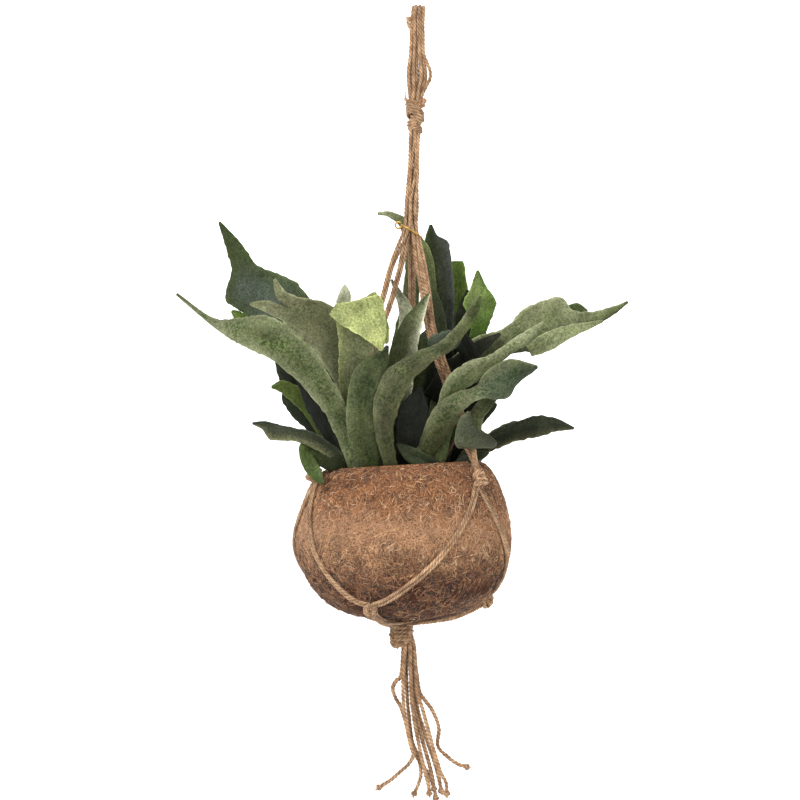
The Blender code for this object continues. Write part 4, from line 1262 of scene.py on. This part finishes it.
def setting(name, default, text, **limits):
    """A number that a user can change, in metres unless `limits` says otherwise."""
    limits = limits or {"unit": "LENGTH"}
    return bpy.props.FloatProperty(name=name, description=text, default=default, **limits)


def colour_setting(name, code, text):
    """A colour that a user can change."""
    return bpy.props.FloatVectorProperty(
        name=name, description=text, subtype="COLOR", size=4, min=0.0, max=1.0, default=linear(code)
    )


class HangerSettings(bpy.types.PropertyGroup):
    """Sizes and colours of the jute hanger."""

    strand_width: setting("Strand width", 0.0033, "Width of one jute strand of the hanger")
    lay_length: setting("Lay length", 0.0115, "Length in which a strand's plies turn once")
    hairiness: setting("Hairiness", 1.0, "Stray hairs, as a share of the usual number", min=0.0)
    jute_colour: colour_setting("Jute", "#9a7351", "Colour of the strands")
    # The crest tint is worn fibre and stray hairs, and on the ply crests partly a painted highlight; the
    # groove tint is painted shade between the plies.
    crest_colour: colour_setting("Ply crests", "#cba47c", "Worn tops of the plies and stray hairs")
    groove_shade_colour: colour_setting("Ply grooves", "#3c2819", "Colour between the plies")


class PotSettings(bpy.types.PropertyGroup):
    """Colours and fibres of the coir pot."""

    fibre_share: setting("Fibres", 1.0, "Matted fibres, as a share of the usual number", min=0.0, max=1.0)
    fibre_width: setting("Fibre width", 0.0006, "Width of one coir fibre")
    upper_colour: colour_setting("Upper felt", "#b98058", "Felt below the mouth")
    # The belt's lighter tint is a painted highlight on the smoother felt; the lower tint is partly darker
    # felt and partly painted shade of the underside.
    belt_highlight_colour: colour_setting("Belt", "#d6a47a", "Smoother felt round the middle")
    lower_felt_shade_colour: colour_setting("Lower felt", "#5a3621", "Felt under the middle")


class FrondSettings(bpy.types.PropertyGroup):
    """Shape and skin of the fronds."""

    thickness: setting("Thickness", 0.0013, "Thickness of a frond's blade")
    columns: bpy.props.IntProperty(name="Columns", description="Faces across a blade", default=28, min=4)
    rows: bpy.props.IntProperty(
        name="Rows", description="Faces along a blade for each row of its spine", default=14, min=2
    )
    ripple: setting("Ripple", 0.8, "Rippling of the margins, as a share of the usual", min=0.0)


class StageSettings(bpy.types.PropertyGroup):
    """Camera, lights and paper."""

    camera_distance: setting("Camera distance", 2.2, "Distance from the hook's plane")
    focal_length: setting("Focal length", 106.9, "Focal length of the camera, in millimetres", min=1.0)
    key_power: setting("Key light", 96.0, "Power of the large soft light, in watts", min=0.0)
    fill_power: setting("Fill light", 26.0, "Power of the fill light, in watts", min=0.0)
    paper_glow: setting("Paper glow", 0.14, "Light that the paper gives the plant", min=0.0)
    sky: setting("Sky", 0.26, "Brightness of the light from above the paper", min=0.0)
    drop: setting("Floor drop", 0.55, "Height of the lowest knot above the floor")


# ---------------------------------------------------------------- pieces


def put_jute(name, parts, *stands_for):
    """Makes one piece of the hanger from its strands, knots and hairs."""
    return put_mesh(name, joined(parts), look_of("twisted_jute"), stands_for)


def soft_light(name, place, aim, size, power):
    """A square soft box that looks at a point."""
    lamp = bpy.data.lights.new(name, "AREA")
    lamp.shape = "SQUARE"
    lamp.size = size
    lamp.energy = power
    placed = bpy.data.objects.new(name, lamp)
    placed.location = place
    from_aim = unit(np.array(place) - np.array(aim))
    placed.rotation_euler = (math.acos(from_aim[2]), 0.0, math.atan2(from_aim[1], from_aim[0]) + math.pi / 2)
    bpy.context.scene.collection.objects.link(placed)


class FERN_OT_stage(bpy.types.Operator):
    """Camera, soft lights and a seamless paper bowl far below the plant."""

    bl_idname = "fern.stage"
    bl_label = "Stage"

    def execute(self, context):
        stage = context.scene.fern_stage
        camera = bpy.data.cameras.new("camera")
        camera.sensor_width = 36.0
        camera.lens = stage.focal_length
        placed = bpy.data.objects.new("camera", camera)
        low, high = CAD_BOX
        placed.location = (VIEW_MIDDLE[0], -stage.camera_distance, VIEW_MIDDLE[1])
        placed.rotation_euler = (math.pi / 2, 0.0, 0.0)
        context.scene.collection.objects.link(placed)
        context.scene.camera = placed
        # The paper: a flat floor that bends up into a round wall, r = R + b sin a, z = b (1 - cos a).
        floor, radius, bend, wall, steps = low.z - stage.drop, 4.2, 1.6, 5.5, 96
        a = np.linspace(0.0, math.pi / 2, 14)
        level = np.linspace(0.2, 1.0, 6) * radius
        r = np.concatenate([[radius * 0.02], level, radius + bend * np.sin(a[1:]), [radius + bend]])
        z = np.concatenate([np.zeros(7), bend * (1 - np.cos(a[1:])), [wall]]) + floor
        turn = 2 * math.pi * np.arange(steps) / steps
        ring = np.stack([np.sin(turn), -np.cos(turn)], axis=-1)
        heights = np.broadcast_to(z[:, None, None], (len(z), steps, 1))
        points = np.concatenate([ring[None] * r[:, None, None], heights], axis=-1)
        points = np.vstack([points.reshape(-1, 3), [(0.0, 0.0, floor)]])
        j = np.arange(steps)
        fan = np.stack([np.full(steps, len(points) - 1), j, (j + 1) % steps], axis=1)
        data = bpy.data.meshes.new("paper")
        quads = grid_faces(len(r), steps, True)
        data.from_pydata(points, [], [*quads.tolist(), *fan.tolist()])
        data.shade_smooth()
        data.materials.append(look_of("studio_paper"))
        paper = bpy.data.objects.new("paper", data)
        context.scene.collection.objects.link(paper)
        world = bpy.data.worlds.new("studio")
        world.use_nodes = True
        background = world.node_tree.nodes["Background"]
        background.inputs["Color"].default_value = WHITE
        background.inputs["Strength"].default_value = stage.sky
        context.scene.world = world
        # Plain colours: white paper stays white and the hex colours come out as written.
        context.scene.view_settings.view_transform = "Standard"
        context.scene.view_settings.look = "None"
        middle = (0.0, 0.0, (low.z + high.z) / 2)
        soft_light("key", (-1.5, -2.3, 1.3), middle, 1.5, stage.key_power)
        soft_light("fill", (2.0, -1.9, 0.3), middle, 1.6, stage.fill_power)
        soft_light("top", (0.2, 0.4, 1.9), middle, 1.4, stage.fill_power)
        soft_light("back", (0.9, 2.6, 0.7), middle, 1.6, stage.key_power * 0.45)
        return {"FINISHED"}


class FERN_OT_tassel(bpy.types.Operator):
    """Eight free jute strands below the gathered knot, each ending in a small knot."""

    bl_idname = "fern.tassel"
    bl_label = "Tassel"

    def execute(self, context):
        for n, (name, rows) in enumerate(TASSEL.items()):
            path = even_path(rows, 0.6)
            strand = put_jute(f"strand_{name}", [twisted(path, TASSEL_D * 0.55, 10 * n)], f"tassel_{name}")
            end, along = path[-1], unit(path[-1] - path[-8])
            side = unit(np.cross(along, (0.0, -1.0, 0.3)))
            lump = [pretzel(end + along * 2.2, along, 2.4, 1.2, 1.15, 300 + n, spin=n)]
            lump.append(band(end + along * 1.2, along, 1.6, 1.6, 0.5, n, 1.1, 320 + n, 1.6, 0.8))
            # The cut end opens into a short brush.
            count = 26
            rng = np.random.default_rng(400 + n)
            heading = unit(along + rng.normal(size=(count, 3)) * 0.35)
            pale = np.array(context.scene.fern_hanger.crest_colour[:3])
            tints = pale * rng.uniform(0.45, 1.2, (count, 1))
            roots = end + along * 3.6 + rng.normal(size=(count, 3)) * 0.7
            lengths, bends = rng.uniform(2.0, 4.2, count), rng.uniform(-0.4, 0.4, count)
            thin, flat = np.full(count, 0.17), np.zeros(count)
            sides = np.tile(side, (count, 1))
            lump.append(fibres(roots, heading, sides, lengths, thin, bends, flat, tints, 3))
            lump.append(hairs(path, TASSEL_D / 2.0, 0.28, 500 + n, 3.6))
            knot = put_jute(f"strand_knot_{name}", lump)
        return {"FINISHED"}


def knot_places():
    """The centres of the rim knots and the lower knots."""
    places = {("rim", k): ball_place(*v, KNOT_R + GAP) for k, v in RIM_KNOTS.items()}
    places.update({("low", k): ball_place(*v, KNOT_R + GAP) for k, v in LOWER_KNOTS.items()})
    return places


class FERN_OT_slings(bpy.types.Operator):
    """Six pairs of strands that lie on the ball between the rim knots and the lower knots."""

    bl_idname = "fern.slings"
    bl_label = "Slings"

    def execute(self, context):
        places = knot_places()
        radius = strand_radius()
        for n, (upper, lower, early) in enumerate(SLINGS):
            start, end = RIM_KNOTS[upper], LOWER_KNOTS[lower]
            swing = (end[0] - start[0] + 180.0) % 360.0 - 180.0
            t = np.linspace(0.0, 1.0, 61)
            drop = 1.0 - (1.0 - t) ** early
            line = ball_place(start[0] + swing * t, start[1] + (end[1] - start[1]) * drop, radius + 0.15)
            top, low = places[("rim", upper)], places[("low", lower)]
            away = np.minimum(np.linalg.norm(line - top, axis=1), np.linalg.norm(line - low, axis=1))
            line = line[away > KNOT_R * 0.9]
            line = np.vstack([top + (line[0] - top) * 0.25, line, low + (line[-1] - low) * 0.25])
            path = even_path(line, 0.6, False)
            middle = np.array([0.0, 0.0, -70.0])
            out = unit(path - middle)
            beside = unit(np.cross(np.gradient(path, axis=0), out))
            parts = []
            s = np.linspace(0.0, 1.0, len(path))
            for k, sign in enumerate((-1.0, 1.0)):
                gap = radius * (0.94 + 0.16 * np.sin(7.0 * s + n) * np.sin(math.pi * s))
                rise = 0.5 * np.sin(5.0 * s + 2.0 * n + 3.0 * k) ** 2
                strand = path + beside * (sign * gap)[:, None] + out * rise[:, None]
                parts.append(twisted(strand, radius * 0.98, 40 + 2 * n + k))
                parts.append(hairs(strand, radius, 0.22, 600 + 2 * n + k, 4.0))
            put_jute(f"sling_pair_{upper}_{lower}", parts, f"sling_{upper}_{lower}")
        return {"FINISHED"}


def arm_line(name, places):
    """The middle line of an arm, from inside the top knot through the tie to its rim knot, with
    its bend eased."""
    dx, dy = ARM_SPREAD[name]
    start = BUNDLE_TOP + np.array([dx, dy, 3.0])
    bend = TIE + np.array([dx * 1.02, dy * 1.02, 0.0])
    rest, target = np.array(ARM_BENDS[name]), places[("rim", name)]
    end = target - unit(target - rest) * 4.0
    upper = start + (bend - start) * np.linspace(0.0, 1.0, 40)[:, None]
    lower = even_path([bend, bend * 0.45 + rest * 0.55, rest, (rest + end) / 2.0, end], 2.4)
    line = even_path(np.vstack([upper, lower[1:]]), 0.6, False)
    wide = 25
    padded = np.vstack([np.tile(line[:1], (wide, 1)), line, np.tile(line[-1:], (wide, 1))])
    even = np.ones(wide) / wide
    eased = np.stack([np.convolve(padded[:, k], even, "same") for k in range(3)], axis=1)[wide:-wide]
    eased[:wide] = line[:wide]
    eased[-wide:] = line[-wide:]
    return eased


class FERN_OT_arms(bpy.types.Operator):
    """Three arms of four strands, bundled above the tie and side by side below it."""

    bl_idname = "fern.arms"
    bl_label = "Arms"

    def execute(self, context):
        places = knot_places()
        radius = strand_radius()
        for n, name in enumerate(ARM_SPREAD):
            line = arm_line(name, places)
            # The bundle draws together towards the top knot.
            rise = (line[:, 2:] - TIE[2]) / (BUNDLE_TOP[2] - TIE[2])
            drawn = 0.45 * np.clip((line[:, 2:] - TIE[2] - 8.0) / 60.0, 0.0, 1.0)
            line = line - (line - TIE - (BUNDLE_TOP - TIE) * rise) * drawn * (1.0, 1.0, 0.0)
            along = unit(np.gradient(line, axis=0))
            flat = unit(np.cross(along, (0.0, -1.0, 0.0)))
            deep = np.cross(flat, along)
            z = line[:, 2]
            opened = np.clip((TIE[2] + 6.0 - z) / 40.0, 0.0, 1.0) * (0.15 if name == "back" else 1.0)
            bundled = np.clip((z - TIE[2] + 6.0) / 12.0, 0.0, 1.0)
            bundled = bundled * np.clip((BUNDLE_TOP[2] + 2.0 - z) / 14.0, 0.0, 1.0)
            closing = np.clip((z - z[-1]) / 26.0, 0.25, 1.0)
            parts = []
            for k in range(4):
                # Above the tie two by two, below it in a row; the left arm hangs as two pairs.
                row = (k - 1.5) * 1.5 * radius + (1.7 if k > 1 else -1.7) * (name == "left")
                two = (1.0 if k % 2 else -1.0) * radius
                back = (1.0 if k > 1 else -1.0) * radius
                wander = 0.25 * ripple(line, 70.0, 70 + 4 * n + k) * closing
                sway = 1.3 * ripple(line, 60.0, 90 + 4 * n + k) * bundled
                x = (two + (row - two) * opened) * closing + wander + sway
                y = (back * (1 - opened)) + wander * 0.5 + 1.5 * (k % 2) * opened - 0.5 * sway
                strand = line + flat * x[:, None] + deep * y[:, None]
                parts.append(twisted(strand, radius, 80 + 4 * n + k))
                parts.append(hairs(strand, radius, 0.2, 640 + 4 * n + k, 4.0))
            put_jute(f"arm_strands_{name}", parts, f"arm_{name}")
        return {"FINISHED"}


class FERN_OT_loop(bpy.types.Operator):
    """The hanging loop, seven strands over the hook, and the lumpy knot below it."""

    bl_idname = "fern.loop"
    bl_label = "Hanging loop"

    def execute(self, context):
        radius = strand_radius() * 1.06
        rows = even_path(LOOP, 0.6)
        y, z, half = rows.T
        lean = LOOP_X - 3.0 * np.clip((424.0 - z) / 86.0, 0.0, 1.0)
        front = np.clip(-y / 8.0, 0.0, 1.0)
        spread = np.exp(-(((z - 361.0) / 15.0) ** 2))
        parts = []
        for k, (across, spring, depth) in enumerate(LOOP_STRANDS):
            x = lean + across * half + spring * spread * (0.35 + 0.65 * front)
            out = np.stack([np.zeros_like(y), y, np.where(z > 400, z - 405, 0.0)], axis=1)
            place = np.stack([x, y, z], axis=1) + unit(out + 1e-9) * depth
            place[:, 0] += 0.5 * ripple(place, 50.0, 120 + k)
            place = even_path(place[::12], 0.6)
            parts.append(twisted(place, radius * (0.96 if k > 3 else 1.0), 130 + k))
            parts.append(hairs(place, radius, 0.24, 700 + k, 4.0))
        stub = even_path(LOOP_STUB, 0.5)
        parts += [twisted(stub, radius * 0.95, 150), pretzel(stub[-1], (0.2, 0.1, 1.0), 2.3, 1.0, 1.1, 151)]
        put_jute("loop_strands", parts, "hanging_loop")

        parts = []
        for k, (height, wide, deep, tilt, twist, count) in enumerate(TOP_WRAPS):
            for j in range(count):
                centre = np.array([11.2 + 0.5 * (k == 0), 0.0, height + (j - (count - 1) / 2) * 2.7])
                parts.append(band(centre, (0, 0, 1), wide, deep, tilt, twist, radius * 0.98, 160 + 5 * k + j))
        for j in range(2):
            path = even_path(np.array(TOP_DIAGONAL) + np.array([1.6, -0.2, 2.4]) * (j - 0.5), 0.6)
            parts += [twisted(path, radius, 180 + j)]
        # Two cut ends stand out at the top, and one dark curl of fibre.
        for j, end in enumerate(CUT_ENDS):
            path = even_path(end, 0.5)
            parts += [twisted(path, radius * 1.05, 190 + j), hairs(path, radius, 1.6, 720 + j, 3.5)]
        core = even_path([(11.2, 0.0, 338.5), (11.2, 0.0, 324.0), (11.2, 0.0, 310.0)], 0.8)
        parts.append(twisted(core, 5.0, 195, 18))
        path = even_path(FIBRE_CURL, 0.5)
        parts.append(threads(path[None], np.array([[0.0, -1.0, 0.1]]), np.array([0.55]), hues("#2b221c")))
        put_jute("top_knot_wraps", parts, "top_knot")
        return {"FINISHED"}


class FERN_OT_knots(bpy.types.Operator):
    """Rim knots, lower knots with the tails under the ball, and the gathered knot."""

    bl_idname = "fern.knots"
    bl_label = "Knots"

    def execute(self, context):
        places = knot_places()
        radius = strand_radius()
        for n, name in enumerate(RIM_KNOTS):
            centre = places[("rim", name)]
            down = unit(centre - np.array(ARM_BENDS[name]))
            parts = [pretzel(centre + down * 1.0, down, 5.4, 2.4, radius, 200 + n, 0.6)]
            parts.append(pretzel(centre - down * 1.2, down, 4.6, 3.2, radius, 210 + n, 1.9))
            for j in range(2):
                above = centre - down * (6.2 - 2.7 * j)
                parts.append(band(above, down, 4.5, 4.2, 1.4, 0.6, radius * 0.95, 220 + 3 * n + j))
            parts.append(band(centre + down * 3.2, down, 4.0, 3.8, -1.8, 0.4, radius * 0.95, 230 + n))
            core = even_path([centre - down * 9.0, centre, centre + down * 5.0], 0.8)
            parts += [twisted(core, 3.6, 240 + n, 15), hairs(core, 4.6, 2.2, 740 + n, 4.0)]
            put_jute(f"rim_tie_{name}", parts, f"rim_knot_{name}")
        for n, (name, (azimuth, height)) in enumerate(LOWER_KNOTS.items()):
            centre = places[("low", name)]
            near = ball_place([azimuth, azimuth], [-131.0, -137.0], [4.6, 4.3])
            inward = unit(near[0] - centre)
            out = unit(centre * (1.0, 1.0, 0.0))
            tail_end = GATHER * (1.0, 1.0, 0.0) + out * 4.0 + (0.0, 0.0, -148.5)
            under = GATHER * (1, 1, 0) + out * 12.0 + (0, 0, -145.4)
            line = even_path([centre - inward * 2.0, centre + inward * 4.5, *near, under, tail_end], 0.6)
            along = unit(np.gradient(line, axis=0))
            beside = unit(np.cross(along, (0.1, 0.0, 1.0)))
            above = np.cross(beside, along)
            parts = []
            for k in range(4):
                a = math.pi / 2 * k + np.linspace(0.0, 1.8, len(line)) + 0.5
                ring = beside * np.cos(a)[:, None] * 2.3 + above * np.sin(a)[:, None] * 1.9
                parts.append(twisted(line + ring, radius * 0.95, 250 + 4 * n + k))
            parts.append(pretzel(centre, inward, 5.6, 2.2, radius, 270 + n, 0.2))
            slanted = unit(inward + out * 0.4)
            parts.append(pretzel(centre - inward * 1.6, slanted, 4.6, 3.0, radius, 275 + n, 1.3))
            for j in range(2):
                wrap = centre + inward * (1.6 + 2.8 * j)
                parts.append(band(wrap, inward, 4.6, 4.2, 1.6 - 2.0 * j, 0.8, radius, 280 + 3 * n + j))
            parts.append(hairs(line, 4.0, 1.2, 760 + n, 4.0))
            put_jute(f"lower_tie_{name}", parts, f"lower_knot_{name}")
        parts = []
        turns, count = 5.2, 420
        a = np.linspace(0.0, 2 * math.pi * turns, count)
        share = np.linspace(0.0, 1.0, count)
        wide = GATHER_R - 1.5 + 0.6 * np.sin(a * 0.5 + 1.0) - 2.2 * share**4
        height = 9.0 - 18.5 * share + 0.9 * np.cos(a + 0.4)
        path = np.stack([wide * np.cos(a), wide * np.sin(a), height], axis=1)
        path = path + GATHER + np.array([0.6, 0.0, -0.6]) - np.array([1.6, 0.0, 0.0]) * share[:, None]
        parts.append(twisted(even_path(path, 0.6, False), 1.95, 290))
        parts.append(hairs(path, 1.9, 0.6, 780, 3.6))
        parts.append(pretzel(GATHER + np.array([-5.0, -6.5, -6.0]), (0.35, 0.0, 1.0), 5.6, 1.8, 1.8, 298))
        parts.append(pretzel(GATHER + np.array([5.0, -5.5, 5.0]), (-0.2, 0.0, 1.0), 4.6, 1.8, 1.8, 299))
        core = even_path([(-1.2, 0.0, -146.0), (-1.2, 0.0, -156.0), (1.5, 0.0, -166.5)], 0.8)
        parts.append(twisted(core, 8.4, 292, 24))
        for k, (height, wide) in enumerate(((-142.6, 5.5), (-144.2, 8.6))):
            centre = np.array([-1.2, 0.0, height])
            parts.append(band(centre, (0.05, 0.0, 1.0), wide, wide, 0.7, 0.4, 1.9, 296 + k))
        for k, rows in enumerate(TASSEL.values()):
            top = np.array(rows[0], dtype=float)
            ahead = unit(np.array(rows[1], dtype=float) - top)
            inside, mouth = top + (-0.35 * top[0], 0.0, 13.0), top + (-0.1 * top[0], 0.0, 5.0)
            neck = even_path([inside, mouth, top, top + ahead * 1.5], 0.6)
            parts.append(twisted(neck, TASSEL_D * 0.56, 10 * k))
        parts.append(twisted(even_path(SLACK, 0.6), 1.7, 294))
        put_jute("gather_wraps", parts, "gather_knot")
        return {"FINISHED"}


class FERN_OT_tie(bpy.types.Operator):
    """A golden wire tie once round the three arms, with an open curl at its left end."""

    bl_idname = "fern.tie"
    bl_label = "Golden tie"

    def execute(self, context):
        a = np.radians(200.0 + np.linspace(0.0, 340.0, 70))
        x, y = (TIE_R - 0.6) * np.cos(a), (TIE_R - 0.6) * np.sin(a)
        ring = np.stack([x, y, -0.58 * x - 1.4 * np.linspace(0.0, 1.0, 70)], axis=1) + TIE
        c = np.linspace(0.4, 5.6, 26)
        start = ring[0]
        curl = start + np.stack([-2.9 + 2.9 * np.cos(c), -0.9 - 0.5 * c, -2.9 * np.sin(c) - 0.6], axis=1)
        path = even_path(np.vstack([curl[::-1], ring]), 0.5, False)
        _, side, up = carried_frame(path)
        turn = 2 * math.pi * np.arange(WIRE_SIDES) / WIRE_SIDES
        spin = np.arange(len(path))[:, None] * 0.16
        u, w = WIRE_WIDE * np.cos(turn)[None], WIRE_DEEP * np.sin(turn)[None]
        p, q = u * np.cos(spin) - w * np.sin(spin), u * np.sin(spin) + w * np.cos(spin)
        points = path[:, None] + side[:, None] * p[..., None] + up[:, None] * q[..., None]
        points, faces = capped(points.reshape(-1, 3), WIRE_SIDES, path[[0, -1]])
        part = (points, faces, plain_tint("#b38d45", points))
        put_mesh("golden_wire", part, look_of("golden_tie"), ["twist_tie"])
        return {"FINISHED"}


class FERN_OT_pot(bpy.types.Operator):
    """The felted coir ball, its matted and loose fibres, and the moss round the roots."""

    bl_idname = "fern.pot"
    bl_label = "Coir pot"

    def execute(self, context):
        pot = context.scene.fern_pot
        outer = even_path(POT_OUTER, 1.6)[::-1]
        lip = [(71.2, 0.9), (69.8, 1.0), (68.6, 0.1), (68.0, -1.6)]
        profile = np.vstack([outer, lip, even_path(POT_INNER, 5.0)])

        def felt(grid, azimuth, rows):
            outward = np.stack([np.sin(azimuth), -np.cos(azimuth), np.zeros_like(azimuth)], axis=-1)[None]
            down = np.clip((-100.0 - rows[:, 1]) / 40.0, 0.0, 1.0)[:, None, None]
            way = unit(outward * (1 - down) + np.array([0.0, 0.0, -1.0]) * down)
            lumps = 0.45 * ripple(grid, 16.0, 31) + 0.3 * ripple(grid, 5.5, 32) + 0.22 * ripple(grid, 2.6, 33)
            # A torn patch low at the right, where the felt ends in a short ledge.
            turn = np.arctan2(grid[..., 0], -grid[..., 1])
            ledge = np.exp(-(((turn - 1.05) / 0.22) ** 2 + ((grid[..., 2] + 110.0) / 6.0) ** 2))
            hollow = np.exp(-(((turn - 1.0) / 0.3) ** 2 + ((grid[..., 2] + 121.0) / 6.0) ** 2))
            return way * (lumps + 1.6 * ledge - 1.8 * hollow)[..., None]

        points, faces = turned(profile, 264, felt)
        put_mesh("coir_wall", (points, faces, coir_zones(points)), look_of("coir_felt"), ["coir_pot"])

        # Where each coat of fibres lies, how long and how curly they are, and the odds of each tint; the
        # lower coats draw darker tints, partly painted shade of the underside.
        coats = (
            ("upper", 0.0, 78.0, 11000, (3.0, 8.0), 0.6, 3, (0.28, 0.20, 0.25, 0.21, 0.06)),
            ("middle", 40.0, 118.0, 7000, (4.0, 12.0), 1.1, 5, (0.16, 0.18, 0.30, 0.26, 0.10)),
            ("lower", 78.0, 150.0, 7000, (6.0, 16.0), 1.8, 5, (0.36, 0.24, 0.20, 0.14, 0.06)),
            ("bottom", 98.0, 172.0, 7000, (6.0, 16.0), 1.8, 5, (0.42, 0.26, 0.16, 0.11, 0.05)),
        )
        for n, (name, low, high, number, lengths, curl, rows, odds) in enumerate(coats):
            rng = np.random.default_rng(810 + n)
            count = int(pot.fibre_share * number)
            azimuth = rng.uniform(0, 2 * math.pi, count)
            depth = rng.uniform(low, high, count)
            length = rng.uniform(*lengths, count)
            heading = rng.uniform(0, 2 * math.pi, count)
            bend = rng.normal(0.0, curl, count)
            t = np.linspace(0.0, 1.0, rows)[None]
            swing = heading[:, None] + bend[:, None] * (t - 0.5)
            step = length[:, None] / (rows - 1)
            across = np.cumsum(np.cos(swing) * step, axis=1)
            down = np.cumsum(np.sin(swing) * step, axis=1)
            r = np.maximum(8.0, np.interp(depth, POT_DEPTH, POT_LINE[:, 0]))[:, None]
            s = np.clip(depth[:, None] + down, 0.5, POT_DEPTH[-1] - 3.0)
            place, out = on_ball(azimuth[:, None] + across / r, s)
            # Most lie in the mat, and the loose ones lift an end clear of it.
            loose = (rng.random(count) < LOOSE_SHARE)[:, None]
            lift = 0.15 + 0.5 * np.sin(math.pi * t) * rng.uniform(0.1, 1.0, (count, 1))
            lift = lift + loose * 2.2 * t**2 * rng.uniform(0.3, 1.0, (count, 1))
            line = place + out * lift[..., None]
            palette = hues("#2f1c12", "#6e4428", "#a9744c", "#d3a277", "#ecca9f")
            tints = palette[rng.choice(5, count, p=odds)] * rng.uniform(0.75, 1.2, (count, 1))
            # A lighter belt of fibres round the widest part: painted highlight.
            belt = np.exp(-(((depth - 62.0) / 14.0) ** 2))[:, None] * 0.65
            tints = tints * (1 - belt) + hues("#d0a078")[0] * belt
            # The fibres under the belt are darker and redder: partly their own tint, partly painted shade of
            # the underside.
            tints = tints * (1.0 - np.clip((depth - 84.0) / 22.0, 0.0, 1.0)[:, None] * (0.34, 0.44, 0.54))
            radii = np.full(count, pot.fibre_width * 500.0) * rng.uniform(0.35, 1.1, count)
            put_mesh(f"coir_fibres_{name}", threads(line, out, radii, tints), look_of("coir_fibre"))

        def tufts(grid, *_):
            height = 0.9 * ripple(grid, 11.0, 41) + 0.6 * ripple(grid, 4.0, 42)
            return np.array([0.0, 0.0, 1.0]) * height[..., None]

        points, faces = turned(even_path(ROOT_BALL, 3.0)[::-1], 120, tufts)
        bed = (points, faces, plain_tint("#3b3120", points))
        put_mesh("moss_bed", bed, look_of("root_moss"), ["root_ball"])
        return {"FINISHED"}


class FERN_OT_fronds(bpy.types.Operator):
    """The fronds, the dried shield frond, small lobes and young stalks."""

    bl_idname = "fern.fronds"
    bl_label = "Fronds"

    def execute(self, context):
        thickness = context.scene.fern_fronds.thickness
        for n, (node_name, frond) in enumerate(FRONDS.items()):
            name = "shield" if node_name == "shield_frond" else node_name[len("frond_") :]
            part, uv, middle = frond_part(frond, LOOKS[name], 900 + 10 * n)
            dried = name == "shield"
            look = look_of("dried_shield" if dried else "felted_frond")
            dots = LOOKS[name]["speckle"] * middle
            thicken(put_mesh(f"blade_{name}", part, look, [node_name], uv, dots), thickness)
        for n, (name, leaf) in enumerate(SIDE_LEAVES.items()):
            part, uv, middle = frond_part({"cup": -0.15, **leaf}, leaf, 1300 + 10 * n)
            look, dots = look_of("felted_frond"), leaf["speckle"] * middle
            thicken(put_mesh(f"leaf_{name}", part, look, (), uv, dots), thickness)
        parts = []
        for n, rows in enumerate(YOUNG_STALKS):
            path = even_path(rows, 1.0)
            _, side, up = carried_frame(path)
            share = np.linspace(0, 1, len(path))
            thin = np.interp(share, (0, 0.8, 1), (1.7, 1.3, 0.3))[:, None, None]
            tube = (path[:, None] + rings(side, up, STALK_SIDES) * thin).reshape(-1, 3)
            points, faces = capped(tube, STALK_SIDES, path[[0, -1]])
            parts.append((points, faces, plain_tint("#5d4030", points)))
        put_mesh("young_stalks", joined(parts), look_of("coir_fibre"))
        return {"FINISHED"}


class FERN_PT_panel(bpy.types.Panel):
    """Lists the fern's settings and pieces."""

    bl_idname = "FERN_PT_panel"
    bl_label = "Hanging fern"
    bl_space_type = "VIEW_3D"
    bl_region_type = "UI"
    bl_category = "Fern"

    def draw(self, context):
        scene = context.scene
        for settings in (scene.fern_stage, scene.fern_hanger, scene.fern_pot, scene.fern_fronds):
            box = self.layout.box()
            for key in settings.__annotations__:
                box.prop(settings, key)
        for piece in PIECES:
            self.layout.operator(piece.bl_idname)


PIECES = (
    FERN_OT_stage,
    FERN_OT_tassel,
    FERN_OT_slings,
    FERN_OT_arms,
    FERN_OT_loop,
    FERN_OT_knots,
    FERN_OT_tie,
    FERN_OT_pot,
    FERN_OT_fronds,
)
SETTINGS = {
    "fern_stage": StageSettings,
    "fern_hanger": HangerSettings,
    "fern_pot": PotSettings,
    "fern_fronds": FrondSettings,
}


def register():
    """Registers the settings, the operators and the panel."""
    for made in (*SETTINGS.values(), *PIECES, FERN_PT_panel):
        bpy.utils.register_class(made)
    for key, made in SETTINGS.items():
        setattr(bpy.types.Scene, key, bpy.props.PointerProperty(type=made))


def unregister():
    """Takes them all away again."""
    for key in SETTINGS:
        delattr(bpy.types.Scene, key)
    for made in (FERN_PT_panel, *reversed(PIECES), *SETTINGS.values()):
        bpy.utils.unregister_class(made)


def main():
    """Builds the stage and every piece in order."""
    register()
    bpy.ops.fern.stage()
    bpy.ops.fern.tassel()
    bpy.ops.fern.slings()
    bpy.ops.fern.arms()
    bpy.ops.fern.loop()
    bpy.ops.fern.knots()
    bpy.ops.fern.tie()
    bpy.ops.fern.pot()
    bpy.ops.fern.fronds()
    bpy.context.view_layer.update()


if __name__ == "__main__":
    main()
